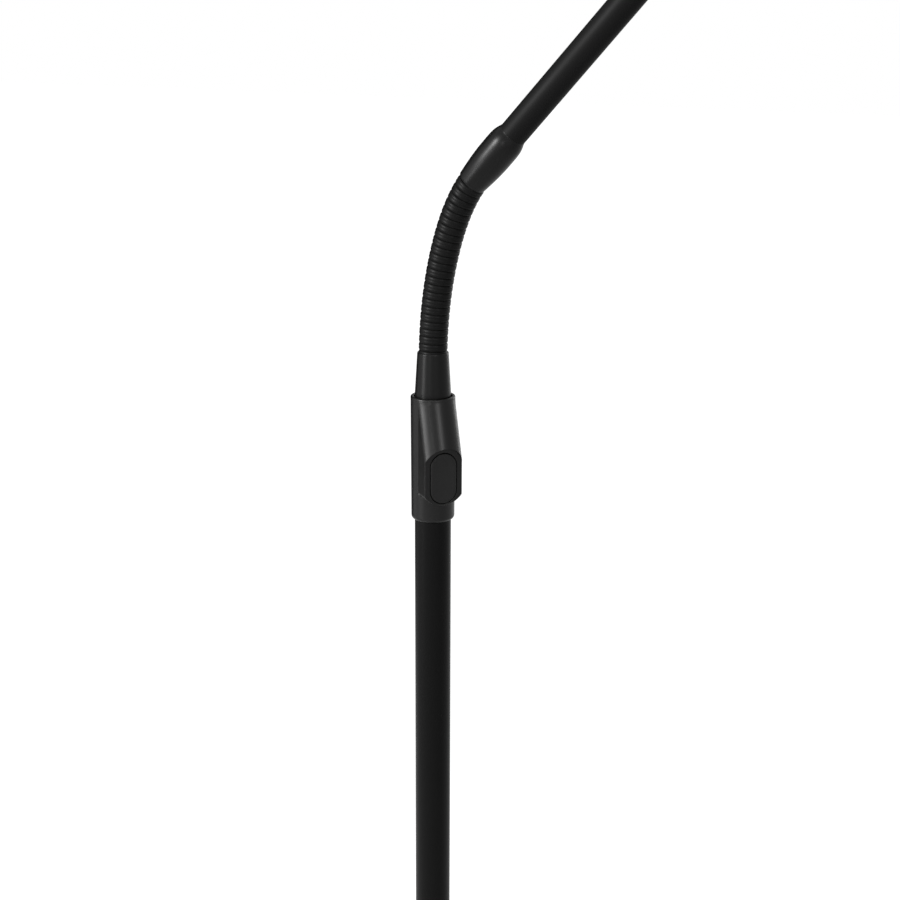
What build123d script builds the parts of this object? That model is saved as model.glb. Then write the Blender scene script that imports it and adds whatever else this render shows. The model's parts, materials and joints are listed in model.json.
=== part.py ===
from build123d import *
import os
from math import cos, radians, sin, sqrt

# Gooseneck reading floor lamp: a weighted disc base, a telescoping pole with a push-button height lock,
# a ribbed flexible neck and a straight upper tube that carries a slim LED head on a tilting knuckle.
# Millimetres and degrees. The origin is the middle of the base's underside, +Z is up, and the arm
# leans towards +X. The lamp is modelled at its lowest height, as it is shown.

# ---------------------------------------------------------------- driving dimensions

# clearances
fit_gap = 0.05            # radial running fit of tubes, bushes and pins
free_gap = 0.3            # between parts that must never touch
button_gap = 0.5          # around the oval lock button
face_gap = 0.2            # between flat faces that meet at a stop

# base
base_diameter = 250.0
pad_thickness = 2.0
pad_inset = 4.0           # the pad ends this far inside the cover's rim
weight_thickness = 10.0
cover_wall = 1.5
cover_lift = 0.5          # the cover's rim stays this far above the pad
cover_rim_height = 12.0
cover_bevel = 5.0
cover_rise = 3.0          # the top rises this much from its edge to the pole
ring_radius = 21.0        # trim ring round the foot of the pole
ring_height = 14.0
ring_lip = 2.2
ring_bevel = 1.0

# low-voltage inlet at the back of the base
inlet_body = 9.5          # square body
inlet_depth = 13.0
inlet_barrel_radius = 4.0
inlet_bore_radius = 2.85
inlet_bore_depth = 9.5

# pole and its fixing
pole_diameter = 25.0
pole_wall = 1.2
plug_height = 28.0
bolt_radius = 4.0
bolt_length = 26.0
bolt_head_radius = 6.5
bolt_head_height = 4.0
bolt_key = 6.0            # across the flats of the hexagon socket
washer_radius = 9.0
washer_thickness = 1.6

# height lock
housing_bottom = 802.0
housing_height = 87.0
housing_bottom_radius = 14.85
housing_rim_radius = 15.2
housing_bevel = 1.6
rim_bevel = 0.8
mouth_radius = 13.0
mouth_depth = 16.0
guide_height = 27.0       # length of the guide bush, between the pole's top and the mouth
boss_turn = -40.0         # the way the lock button faces, from +X
boss_half_width = 13.5
boss_reach = 19.8         # from the pole's axis to the flat panel
foot_drop = 20.0          # lowest point of the rounded foot, below the button's middle
boss_foot_rise = 8.5
shoulder_rise = 13.2      # the panel's sides end this far above the button's middle
shoulder_crown = 0.85
shoulder_top = 1.0        # the shoulder ends this far below the rim, inside the sleeve's wall
shoulder_dive = 0.15      # and this far inside the rim's outside
boss_edge_round = 0.7
button_width = 18.6
button_height = 34.9
button_drop = 22.5        # the button's middle is this far below the pivot
button_proud = 0.25
button_thickness = 3.2
button_dish = 0.5
button_rim = 1.6          # raised edge round the dish
button_bevel = 0.6
pivot_depth = 15.0        # below the mouth's floor
pivot_reach = 14.6        # from the pole's axis
pivot_pin_radius = 1.5
pivot_pin_length = 20.0
lever_hub_radius = 2.4
lever_width = 11.0
lever_pocket_width = 13.0
lever_pocket_rise = 11.6  # above the pivot
lever_wall = 1.4          # wall left outside the lever's pocket
shoe_height = 8.0
shoe_gap = 0.25           # from the brake shoe to the inner tube
shoe_thickness = 2.6
spring_strip = 0.4
spring_width = 8.0
spring_length = 22.0
spring_bow = 1.1
spring_drop = 4.0         # the spring's middle is this far below the button's
grub_radius = 2.0
grub_height = 8.0

# telescoping tube
inner_diameter = 19.0
inner_wall = 1.0
travel = 280.0
guide_margin = 20.0       # tube left between the two bushes when fully raised
foot_bush_height = 30.0
foot_bush_ledge = 2.0

# lower ferrule
ferrule_base_radius = 12.25
ferrule_top_radius = 10.55
ferrule_straight = 18.0
ferrule_height = 45.9
ferrule_seat = 30.0       # inner tube's length inside the ferrule
ferrule_bevel = 0.5

# ribbed neck: stiff ribbed links on ball joints
link_count = 7
link_length = 16.8
ribs_per_link = 3
neck_radius = 9.8
groove_radius = 8.95
rib_slope = 0.75          # length of each rib's side
joint_gap = 3.0
ball_radius = 7.3
neck_bore_radius = 4.5
rest_bends = (2.8, 2.9, 3.2, 3.5, 3.9, 5.5, 8.4, 12.1)

# arm
socket_ferrule_radius = 9.75
socket_ferrule_wide_radius = 11.65
socket_ferrule_taper = 30.0
socket_ferrule_length = 41.5
socket_ferrule_lip = 0.5
arm_tube_diameter = 18.5
arm_tube_wall = 1.0
arm_tube_seat = 20.0
arm_length = 330.0        # from the last neck joint to the end of the tube

# tilting knuckle
knuckle_plug = 24.0
knuckle_flange = 3.0
knuckle_reach = 14.0      # from the end of the tube to the tilt axis
cheek_thickness = 4.5
cheek_radius = 9.0
cheek_bevel = 1.5
tongue_thickness = 7.0
tongue_radius = 8.0
tongue_half_height = 4.0
friction_washer = 0.6
friction_washer_radius = 7.0
knuckle_bolt_radius = 2.5
knuckle_head_radius = 5.0
knuckle_head_height = 3.0
knuckle_head_bevel = 1.2
knuckle_nut_width = 8.0
knuckle_nut_height = 3.6

# head
head_droop = 8.0          # below level, at rest
head_start = 20.0         # from the tilt axis to the head's rear edge
head_length = 262.0
head_width = 64.0
head_height = 16.0
head_corner = 24.0
head_wall = 2.0
head_top_bevel = 2.6
bezel_thickness = 3.0
bezel_border = 11.0
diffuser_thickness = 2.0
diffuser_step = 1.5       # the bezel's ledge under the diffuser's edge
board_thickness = 1.6
board_inset = 3.0
board_height = 6.5        # above the head's lower face
chip_size = 3.0
chip_height = 0.8
chip_rows = 2
chip_columns = 14
chip_pitch_x = 15.0
chip_pitch_y = 20.0
rib_thickness = 2.0
foot_length = 26.0        # of the tongue's foot inside the head
foot_width = 26.0
foot_thickness = 4.0
foot_screw_spacing = 16.0
foot_screw_head = 1.6
foot_screw_bite = 1.2     # thread in the shell's roof
screw_radius = 1.3
screw_head_radius = 2.4
screw_length = 8.0
screw_inset_x = 13.0
screw_inset_y = 10.5
post_radius = 3.4
driver_length = 52.0
driver_width = 30.0
driver_parts_height = 2.2
key_radius = 7.0
key_travel = 1.0
key_proud = 1.4
key_bevel = 0.6
key_dish = 0.4
key_flange = 1.0          # thickness, and overhang under the roof

# ---------------------------------------------------------------- places worked out from the sizes

os.makedirs("parts", exist_ok=True)

base_radius = base_diameter / 2
weight_top = pad_thickness + weight_thickness
cover_bottom = pad_thickness + cover_lift
cover_shoulder = cover_bottom + cover_rim_height
cover_edge = cover_shoulder + cover_bevel
cover_top = cover_edge + cover_rise

pole_radius = pole_diameter / 2
pole_bore = pole_radius - pole_wall
cover_hole = pole_radius + free_gap
rim_height = housing_bottom + housing_height
bush_top = rim_height - mouth_depth
pole_top = bush_top - guide_height
housing_bore = pole_radius + fit_gap

inner_radius = inner_diameter / 2
inner_bore = inner_radius - inner_wall
tube_guide = inner_radius + fit_gap
ferrule_bottom = bush_top + face_gap
ferrule_top = ferrule_bottom + ferrule_height
tube_bottom = pole_top - travel - guide_margin - foot_bush_height
tube_top = ferrule_bottom + ferrule_seat
neck_start = ferrule_top + joint_gap / 2
socket_radius = ball_radius + free_gap

arm_tube_radius = arm_tube_diameter / 2
tilt_axis_reach = arm_length + knuckle_reach


def cover_height(radius):
    """Height of the cover's gently coned top at a distance from the pole's axis."""
    run = base_radius - cover_bevel - cover_hole
    return cover_edge + cover_rise * (base_radius - cover_bevel - radius) / run


# the boss that holds the lock button has its own directions: outwards, and sideways
outwards = Vector(cos(radians(boss_turn)), sin(radians(boss_turn)), 0)
sideways = Vector(-sin(radians(boss_turn)), cos(radians(boss_turn)), 0)


def boss_front(reach):
    """Upright plane that faces outwards from the boss, at a distance from the pole's axis."""
    return Plane(origin=outwards * reach, x_dir=sideways, z_dir=outwards)


boss_side = Plane(origin=(0, 0, 0), x_dir=outwards, z_dir=-sideways)


def boss_level(height):
    """Level plane whose X axis points outwards along the boss."""
    return Plane(origin=(0, 0, height), x_dir=outwards, z_dir=(0, 0, 1))


def neck_plane(joint):
    """Plane at a neck joint, with its Z axis along the piece that the joint carries."""
    x, z, lean = 0.0, neck_start, rest_bends[0]
    for bend in rest_bends[1:joint]:
        x += link_length * sin(radians(lean))
        z += link_length * cos(radians(lean))
        lean += bend
    direction = Vector(sin(radians(lean)), 0, cos(radians(lean)))
    return Plane(origin=(x, 0, z), x_dir=(cos(radians(lean)), 0, -sin(radians(lean))), z_dir=direction)


joint_count = link_count + 1
arm_plane = neck_plane(joint_count)
tilt_point = arm_plane.offset(tilt_axis_reach).origin
droop = radians(head_droop)
head_plane = Plane(origin=tilt_point, x_dir=(cos(droop), 0, -sin(droop)), z_dir=(sin(droop), 0, cos(droop)))


def side_of(plane):
    """Plane through the same origin that looks along -Y: X stays, and Y is the first plane's Z axis."""
    return Plane(origin=plane.origin, x_dir=plane.x_dir, z_dir=-plane.y_dir)


def save(piece, name):
    """Label a finished piece and write it."""
    piece.part.label = name
    export_step(piece.part, f"parts/{name}.step")


# ---------------------------------------------------------------- base

# anti-slip pad, glued under the weight
with BuildPart() as base_pad:
    with BuildSketch(Plane.XY):
        Circle(base_radius - pad_inset)
    extrude(amount=pad_thickness)
save(base_pad, "base_pad")

# steel weight, counterbored from below for the pole's bolt and notched for the inlet
inlet_height = pad_thickness + inlet_body / 2
inlet_plane = Plane(origin=(-base_radius, 0, inlet_height), x_dir=(0, 1, 0), z_dir=(-1, 0, 0))
inlet_face = cover_wall + free_gap
counterbore_depth = cover_lift + bolt_head_height + washer_thickness
with BuildPart() as base_weight:
    with BuildSketch(Plane.XY.offset(pad_thickness)):
        Circle(base_radius - cover_wall - free_gap)
    extrude(amount=weight_thickness)
    with BuildSketch(Plane.XY.offset(pad_thickness)):
        Circle(washer_radius + free_gap)
    extrude(amount=counterbore_depth, mode=Mode.SUBTRACT)
    with BuildSketch(Plane.XY.offset(pad_thickness)):
        Circle(bolt_radius + free_gap)
    extrude(amount=weight_thickness, mode=Mode.SUBTRACT)
    with BuildSketch(inlet_plane):
        Rectangle(inlet_body + 2 * free_gap, 2 * (weight_thickness + inlet_body))
    extrude(amount=-inlet_face - inlet_depth - free_gap, mode=Mode.SUBTRACT)
save(base_weight, "base_weight")

# pressed cover: a straight rim, a bevelled edge and a gently coned top
edge_middle = base_radius - cover_bevel
with BuildPart() as base_cover:
    with BuildSketch(Plane.XZ):
        with BuildLine():
            Polyline(
                (base_radius, cover_bottom),
                (base_radius, cover_shoulder),
                (edge_middle, cover_edge),
                (cover_hole, cover_top),
                (cover_hole, cover_top - cover_wall),
                (edge_middle, cover_edge - cover_wall),
                (base_radius - cover_wall, cover_shoulder),
                (base_radius - cover_wall, cover_bottom),
                close=True,
            )
        make_face()
    revolve(axis=Axis.Z)
    with BuildSketch(inlet_plane):
        Circle(inlet_barrel_radius + free_gap)
    extrude(amount=-2 * cover_wall, mode=Mode.SUBTRACT)
save(base_cover, "base_cover")

# low-voltage inlet: a square body behind the rim and a round barrel through it
with BuildPart() as power_inlet:
    with BuildSketch(inlet_plane.offset(-inlet_face)):
        Rectangle(inlet_body, inlet_body)
    extrude(amount=-inlet_depth)
    with BuildSketch(inlet_plane):
        Circle(inlet_barrel_radius)
    extrude(amount=-inlet_face - inlet_depth / 2)
    with BuildSketch(inlet_plane):
        Circle(inlet_bore_radius)
    extrude(amount=-inlet_bore_depth, mode=Mode.SUBTRACT)
save(power_inlet, "power_inlet")

# trim ring round the foot of the pole, seated on the coned cover
with BuildPart() as pole_ring:
    with BuildSketch(Plane.XZ):
        with BuildLine():
            ring_bore = pole_radius + fit_gap
            ring_top = cover_height(ring_bore) + ring_height
            Polyline(
                (ring_bore, cover_height(ring_bore)),
                (ring_radius, cover_height(ring_radius)),
                (ring_radius, cover_height(ring_radius) + ring_lip),
                (ring_bore + ring_lip, ring_top),
                (ring_bore, ring_top),
                close=True,
            )
        make_face()
    revolve(axis=Axis.Z)
    chamfer(pole_ring.edges().filter_by(GeomType.CIRCLE).group_by(Axis.Z)[-1].sort_by(SortBy.RADIUS)[-1], ring_bevel)
save(pole_ring, "pole_ring")

# ---------------------------------------------------------------- pole

with BuildPart() as pole_tube:
    with BuildSketch(Plane.XY.offset(weight_top)):
        Circle(pole_radius)
        Circle(pole_bore, mode=Mode.SUBTRACT)
    extrude(amount=pole_top - weight_top)
save(pole_tube, "pole_tube")

# steel plug pressed into the pole's foot and tapped for the bolt
with BuildPart() as pole_plug:
    with BuildSketch(Plane.XY.offset(weight_top)):
        Circle(pole_bore - fit_gap)
        Circle(bolt_radius + fit_gap, mode=Mode.SUBTRACT)
    extrude(amount=plug_height)
    chamfer(pole_plug.faces().sort_by(Axis.Z)[-1].outer_wire().edges(), 1.0)
save(pole_plug, "pole_plug")

washer_bottom = pad_thickness + counterbore_depth - washer_thickness
with BuildPart() as base_washer:
    with BuildSketch(Plane.XY.offset(washer_bottom)):
        Circle(washer_radius)
        Circle(bolt_radius + free_gap, mode=Mode.SUBTRACT)
    extrude(amount=washer_thickness)
save(base_washer, "base_washer")

with BuildPart() as base_bolt:
    with BuildSketch(Plane.XY.offset(washer_bottom - bolt_head_height)):
        Circle(bolt_head_radius)
    extrude(amount=bolt_head_height)
    with BuildSketch(Plane.XY.offset(washer_bottom)):
        Circle(bolt_radius)
    extrude(amount=bolt_length)
    with BuildSketch(Plane.XY.offset(washer_bottom - bolt_head_height)):
        RegularPolygon(bolt_key / 2, 6, major_radius=False)
    extrude(amount=bolt_head_height / 2, mode=Mode.SUBTRACT)
save(base_bolt, "base_bolt")

# ---------------------------------------------------------------- height lock

# The moulded housing is a slim sleeve with a boss on one side. The boss has flat flanks, a flat panel
# round the button, a rounded foot, and a shoulder that runs up from the panel into the round rim.
pivot_level = bush_top - pivot_depth
button_level = pivot_level - button_drop
panel_top = button_level + shoulder_rise
shoulder_end = rim_height - shoulder_top
foot_low = button_level - foot_drop
foot_corner = foot_low + boss_foot_rise
shoulder_end_radius = housing_rim_radius - shoulder_dive
rim_flank_reach = sqrt(shoulder_end_radius**2 - boss_half_width**2)


def shoulder_reach(height):
    """Distance of the shoulder's crest from the pole's axis at a height."""
    crest = boss_reach + shoulder_crown
    return crest - (crest - shoulder_end_radius) * (height - panel_top) / (shoulder_end - panel_top)


def button_outline(growth):
    """Upright oval of the button, grown on every side."""
    with Locations((0, button_level)):
        SlotOverall(button_height + 2 * growth, button_width + 2 * growth, rotation=90)


with BuildPart() as lock_housing:
    # seen from above, the boss is a box with a shallow arc outside; its shoulder narrows to the round rim
    for height, flank_reach, crest_reach in (
        (foot_low, boss_reach, boss_reach + shoulder_crown),
        (panel_top, boss_reach, boss_reach + shoulder_crown),
        (shoulder_end, rim_flank_reach, shoulder_end_radius),
    ):
        with BuildSketch(boss_level(height)):
            with BuildLine():
                flank = Line((0, -boss_half_width), (flank_reach, -boss_half_width))
                crest = ThreePointArc(flank @ 1, (crest_reach, 0), (flank_reach, boss_half_width))
                Polyline(crest @ 1, (0, boss_half_width), flank @ 0)
            make_face()
    loft(ruled=True)
    # the front view trims it to its rounded foot and its flat panel
    with BuildSketch(boss_front(0)):
        with BuildLine():
            foot = ThreePointArc((-boss_half_width, foot_corner), (0, foot_low), (boss_half_width, foot_corner))
            Polyline(foot @ 1, (boss_half_width, shoulder_end), (-boss_half_width, shoulder_end), foot @ 0)
        make_face()
    extrude(amount=boss_reach, mode=Mode.INTERSECT)
    fillet(lock_housing.faces().sort_by(Axis(origin=(0, 0, 0), direction=outwards))[-1].edges(), boss_edge_round)
    # the round sleeve, slightly wider at its rim
    with BuildSketch(Plane.XZ):
        with BuildLine():
            Polyline(
                (0, housing_bottom),
                (housing_bottom_radius - housing_bevel, housing_bottom),
                (housing_bottom_radius, housing_bottom + housing_bevel),
                (housing_rim_radius, rim_height - rim_bevel),
                (housing_rim_radius - rim_bevel, rim_height),
                (0, rim_height),
                close=True,
            )
        make_face()
    revolve(axis=Axis.Z)
    # bore for the pole and its guide bush, and the wider mouth for the ferrule
    with BuildSketch(Plane.XY.offset(housing_bottom)):
        Circle(housing_bore)
    extrude(amount=housing_height, mode=Mode.SUBTRACT)
    with BuildSketch(Plane.XY.offset(bush_top)):
        Circle(mouth_radius)
    extrude(amount=mouth_depth, mode=Mode.SUBTRACT)
    # window for the button and pocket for its lever
    with BuildSketch(boss_front(0)):
        button_outline(button_gap)
    extrude(amount=2 * boss_reach, mode=Mode.SUBTRACT)
    pocket_bottom = button_level
    pocket_top = pivot_level + lever_pocket_rise
    with BuildSketch(boss_side):
        with BuildLine():
            Polyline(
                (0, pocket_bottom),
                (boss_reach - lever_wall, pocket_bottom),
                (boss_reach - lever_wall, panel_top),
                (shoulder_reach(pocket_top) - lever_wall, pocket_top),
                (0, pocket_top),
                close=True,
            )
        make_face()
    extrude(amount=lever_pocket_width / 2, both=True, mode=Mode.SUBTRACT)
    with BuildSketch(boss_side):
        with Locations((pivot_reach, pivot_level)):
            Circle(pivot_pin_radius + fit_gap)
    extrude(amount=pivot_pin_length / 2 + fit_gap, both=True, mode=Mode.SUBTRACT)
    # tapped hole for the grub screw, at the back
    with BuildSketch(boss_front(0)):
        with Locations((0, housing_bottom + grub_height)):
            Circle(grub_radius + fit_gap)
    extrude(amount=-2 * boss_reach, mode=Mode.SUBTRACT)
save(lock_housing, "lock_housing")

with BuildPart() as lock_screw:
    with BuildSketch(boss_front(-housing_bottom_radius)):
        with Locations((0, housing_bottom + grub_height)):
            Circle(grub_radius)
            RegularPolygon(grub_radius / 2, 6, major_radius=False, mode=Mode.SUBTRACT)
    extrude(amount=housing_bottom_radius - pole_radius - fit_gap)
save(lock_screw, "lock_screw")

# plastic guide for the inner tube; it stands on the pole inside the housing
with BuildPart() as guide_bush:
    with BuildSketch(Plane.XY.offset(pole_top)):
        Circle(pole_radius)
        Circle(tube_guide, mode=Mode.SUBTRACT)
    extrude(amount=bush_top - pole_top)
    with BuildSketch(boss_side):
        with BuildLine():
            Polyline(
                (0, pole_top),
                (pole_radius * 2, pole_top),
                (pole_radius * 2, pocket_top),
                (0, pocket_top),
                close=True,
            )
        make_face()
    extrude(amount=lever_pocket_width / 2, both=True, mode=Mode.SUBTRACT)
save(guide_bush, "guide_bush")

with BuildPart() as lock_pin:
    with BuildSketch(boss_side):
        with Locations((pivot_reach, pivot_level)):
            Circle(pivot_pin_radius)
    extrude(amount=pivot_pin_length / 2, both=True)
save(lock_pin, "lock_pin")

# bowed strip that rests on the pole and pushes the button out
spring_middle = button_level - spring_drop
spring_low = spring_middle - spring_length / 2
spring_high = spring_middle + spring_length / 2
spring_foot = pole_radius + fit_gap
with BuildPart() as lock_spring:
    with BuildSketch(boss_side):
        with BuildLine():
            inner_bow = ThreePointArc(
                (spring_foot, spring_low), (spring_foot + spring_bow, spring_middle), (spring_foot, spring_high)
            )
            outer_bow = ThreePointArc(
                (spring_foot + spring_strip, spring_low),
                (spring_foot + spring_bow + spring_strip, spring_middle),
                (spring_foot + spring_strip, spring_high),
            )
            Line(inner_bow @ 0, outer_bow @ 0)
            Line(inner_bow @ 1, outer_bow @ 1)
        make_face()
    extrude(amount=spring_width / 2, both=True)
save(lock_spring, "lock_spring")

# the button is the long end of a rocker; its short end carries the brake shoe above the pin
button_face = boss_reach + button_proud
button_back = button_face - button_thickness
button_top = button_level + button_height / 2
shoe_level = pivot_level + lever_hub_radius + free_gap
shoe_face = inner_radius + shoe_gap
arm_inner = shoe_face + shoe_thickness
arm_outer = shoulder_reach(pocket_top) - lever_wall - 2 * button_gap
with BuildPart() as lock_button:
    with BuildSketch(boss_front(button_back)):
        button_outline(0)
    extrude(amount=button_thickness)
    chamfer(lock_button.faces().sort_by(Axis(origin=(0, 0, 0), direction=outwards))[-1].edges(), button_bevel)
    with BuildSketch(boss_front(button_face)):
        button_outline(-button_rim)
    extrude(amount=-button_dish, mode=Mode.SUBTRACT)
    # arm from the button's back up past the pin to the shoe
    with BuildSketch(boss_side):
        with BuildLine():
            Polyline(
                (button_back, button_level + lever_width),
                (button_back + button_gap, button_level + lever_width),
                (button_back + button_gap, button_top - lever_hub_radius),
                (arm_outer, pivot_level - lever_hub_radius),
                (arm_outer, shoe_level + shoe_height),
                (arm_inner, shoe_level + shoe_height),
                (arm_inner, pivot_level),
                close=True,
            )
        make_face()
        with Locations((pivot_reach, pivot_level)):
            Circle(lever_hub_radius)
    extrude(amount=lever_width / 2, both=True)
    with BuildSketch(boss_side):
        with Locations((pivot_reach, pivot_level)):
            Circle(pivot_pin_radius + fit_gap)
    extrude(amount=lever_width, both=True, mode=Mode.SUBTRACT)
save(lock_button, "lock_button")

with BuildPart() as brake_shoe:
    with BuildSketch(boss_level(shoe_level)):
        with Locations((arm_inner / 2, 0)):
            Rectangle(arm_inner, lever_width)
        Circle(shoe_face, mode=Mode.SUBTRACT)
    extrude(amount=shoe_height)
save(brake_shoe, "brake_shoe")

# ---------------------------------------------------------------- telescoping tube

# the foot bush slides in the pole, and the inner tube turns in it
with BuildPart() as foot_bush:
    with BuildSketch(Plane.XY.offset(tube_bottom - foot_bush_ledge)):
        Circle(pole_bore - fit_gap)
        Circle(inner_bore, mode=Mode.SUBTRACT)
    extrude(amount=foot_bush_ledge)
    with BuildSketch(Plane.XY.offset(tube_bottom)):
        Circle(pole_bore - fit_gap)
        Circle(tube_guide, mode=Mode.SUBTRACT)
    extrude(amount=foot_bush_height)
save(foot_bush, "foot_bush")

with BuildPart() as inner_tube:
    with BuildSketch(Plane.XY.offset(tube_bottom)):
        Circle(inner_radius)
        Circle(inner_bore, mode=Mode.SUBTRACT)
    extrude(amount=tube_top - tube_bottom)
save(inner_tube, "inner_tube")

# tapered ferrule between the inner tube and the neck
neck_seat = ball_radius + ferrule_bevel
with BuildPart() as lower_ferrule:
    with BuildSketch(Plane.XZ):
        with BuildLine():
            Polyline(
                (tube_guide, ferrule_bottom),
                (ferrule_base_radius - ferrule_bevel, ferrule_bottom),
                (ferrule_base_radius, ferrule_bottom + ferrule_bevel),
                (ferrule_base_radius, ferrule_bottom + ferrule_straight),
                (ferrule_top_radius, ferrule_top - ferrule_bevel),
                (ferrule_top_radius - ferrule_bevel, ferrule_top),
                (neck_seat + fit_gap, ferrule_top),
                (neck_seat + fit_gap, tube_top),
                (tube_guide, tube_top),
                close=True,
            )
        make_face()
    revolve(axis=Axis.Z)
save(lower_ferrule, "lower_ferrule")

# ---------------------------------------------------------------- ribbed neck


def ball_on(plane, distance):
    """Ball of a neck joint, standing on the given plane at a distance along it."""
    with Locations(plane.offset(distance)):
        Sphere(ball_radius)


def bore_through(plane, start, length):
    """Bore for the lead along a neck piece."""
    with Locations(plane.offset(start)):
        Cylinder(neck_bore_radius, length, align=(Align.CENTER, Align.CENTER, Align.MIN), mode=Mode.SUBTRACT)


# stub with the first ball, pressed into the lower ferrule
with BuildPart() as neck_root:
    root_plane = Plane.XY.offset(tube_top)
    with BuildSketch(root_plane):
        Circle(neck_seat)
    extrude(amount=ferrule_top - tube_top)
    ball_on(root_plane, neck_start - tube_top)
    bore_through(root_plane, 0, neck_start - tube_top + ball_radius)
save(neck_root, "neck_root")


def rib_rings(ribs):
    """Height and radius of the circles that a link's ribs are ruled through, with a V-groove between ribs."""
    pitch = link_length / ribs
    rings = [(joint_gap / 2, groove_radius)]
    for rib in range(ribs):
        low = max(rib * pitch, joint_gap / 2)
        high = min((rib + 1) * pitch, link_length - joint_gap / 2)
        rings += [(low + rib_slope, neck_radius), (high - rib_slope, neck_radius), (high, groove_radius)]
    return rings


def neck_link(plane):
    """Ribbed link: a socket at its foot, a ball at its top and a bore for the lead."""
    with BuildPart() as link:
        for height, radius in rib_rings(ribs_per_link):
            with BuildSketch(plane.offset(height)):
                Circle(radius)
        loft(ruled=True)
        ball_on(plane, link_length)
        with Locations(plane):
            Sphere(socket_radius, mode=Mode.SUBTRACT)
        bore_through(plane, 0, link_length + ball_radius)
    return link


for number in range(1, joint_count):
    save(neck_link(neck_plane(number)), f"neck_link_{number}")

# ---------------------------------------------------------------- arm

# ferrule with the last socket; it widens away from the neck and rounds over on to the tube
arm_side = side_of(arm_plane)
shoulder_span = socket_ferrule_length - socket_ferrule_taper
lip_radius = arm_tube_radius + fit_gap + socket_ferrule_lip
with BuildPart() as upper_ferrule:
    with BuildSketch(arm_side):
        with BuildLine():
            taper = Line((socket_ferrule_radius, joint_gap / 2), (socket_ferrule_wide_radius, socket_ferrule_taper))
            shoulder = TangentArc(taper @ 1, (lip_radius, socket_ferrule_length), tangent=taper % 1)
            Polyline(shoulder @ 1, (0, socket_ferrule_length), (0, joint_gap / 2), taper @ 0)
        make_face()
    revolve(axis=Axis(origin=arm_plane.origin, direction=arm_plane.z_dir))
    with Locations(arm_plane):
        Sphere(socket_radius, mode=Mode.SUBTRACT)
    bore_through(arm_plane, 0, socket_ferrule_length)
    with BuildSketch(arm_plane.offset(socket_ferrule_length - arm_tube_seat)):
        Circle(arm_tube_radius + fit_gap)
    extrude(amount=arm_tube_seat, mode=Mode.SUBTRACT)
save(upper_ferrule, "upper_ferrule")

tube_foot = socket_ferrule_length - arm_tube_seat
with BuildPart() as upper_tube:
    with BuildSketch(arm_plane.offset(tube_foot)):
        Circle(arm_tube_radius)
        Circle(arm_tube_radius - arm_tube_wall, mode=Mode.SUBTRACT)
    extrude(amount=arm_length - tube_foot)
save(upper_tube, "upper_tube")

# ---------------------------------------------------------------- tilting knuckle

slot_width = tongue_thickness + 2 * friction_washer + 2 * face_gap
cheek_outside = slot_width / 2 + cheek_thickness
slot_bottom = tilt_axis_reach - tongue_radius - free_gap
with BuildPart() as knuckle_fork:
    with BuildSketch(arm_side):
        with Locations((0, tilt_axis_reach)):
            Circle(cheek_radius)
        with Locations((0, (arm_length + tilt_axis_reach) / 2)):
            Rectangle(2 * cheek_radius, knuckle_reach)
    extrude(amount=cheek_outside, both=True)
    cheek_faces = knuckle_fork.faces().filter_by(Axis.Y)
    chamfer(cheek_faces.edges(), cheek_bevel)
    with BuildSketch(arm_plane.offset(arm_length - knuckle_plug)):
        Circle(arm_tube_radius - arm_tube_wall - fit_gap)
    extrude(amount=knuckle_plug)
    with BuildSketch(arm_plane.offset(arm_length)):
        Circle(arm_tube_radius)
    extrude(amount=knuckle_flange)
    bore_through(arm_plane, arm_length - knuckle_plug, knuckle_plug + knuckle_reach)
    with BuildSketch(arm_plane.offset(slot_bottom)):
        Rectangle(4 * cheek_radius, slot_width)
    extrude(amount=2 * cheek_radius + tongue_radius, mode=Mode.SUBTRACT)
    with BuildSketch(arm_side):
        with Locations((0, tilt_axis_reach)):
            Circle(knuckle_bolt_radius + fit_gap)
    extrude(amount=cheek_outside, both=True, mode=Mode.SUBTRACT)
save(knuckle_fork, "knuckle_fork")

head_side = side_of(head_plane)
with BuildPart() as friction_washers:
    with BuildSketch(head_side.offset(slot_width / 2 - friction_washer)):
        Circle(friction_washer_radius)
        Circle(knuckle_bolt_radius + fit_gap, mode=Mode.SUBTRACT)
    extrude(amount=friction_washer)
    with BuildSketch(head_side.offset(friction_washer - slot_width / 2)):
        Circle(friction_washer_radius)
        Circle(knuckle_bolt_radius + fit_gap, mode=Mode.SUBTRACT)
    extrude(amount=-friction_washer)
save(friction_washers, "friction_washers")

with BuildPart() as knuckle_bolt:
    with BuildSketch(head_side.offset(cheek_outside)):
        Circle(knuckle_head_radius)
    extrude(amount=knuckle_head_height)
    with BuildSketch(head_side.offset(cheek_outside)):
        Circle(knuckle_bolt_radius)
    extrude(amount=-2 * cheek_outside - knuckle_nut_height)
    chamfer(knuckle_bolt.faces().sort_by(Axis.Y)[0].edges(), knuckle_head_bevel)
save(knuckle_bolt, "knuckle_bolt")

with BuildPart() as knuckle_nut:
    with BuildSketch(head_side.offset(-cheek_outside)):
        RegularPolygon(knuckle_nut_width / 2, 6, major_radius=False)
        Circle(knuckle_bolt_radius + fit_gap, mode=Mode.SUBTRACT)
    extrude(amount=-knuckle_nut_height)
save(knuckle_nut, "knuckle_nut")

# ---------------------------------------------------------------- head

head_middle = head_start + head_length / 2
head_floor = -head_height / 2
head_roof = head_height / 2
bezel_top = head_floor + bezel_thickness
board_bottom = head_floor + board_height
board_top = board_bottom + board_thickness
roof_inside = head_roof - head_wall


def head_outline(inset):
    """Rounded oblong of the head in plan, drawn in from its outside."""
    with Locations((head_middle, 0)):
        RectangleRounded(head_length - 2 * inset, head_width - 2 * inset, head_corner - inset)


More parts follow.
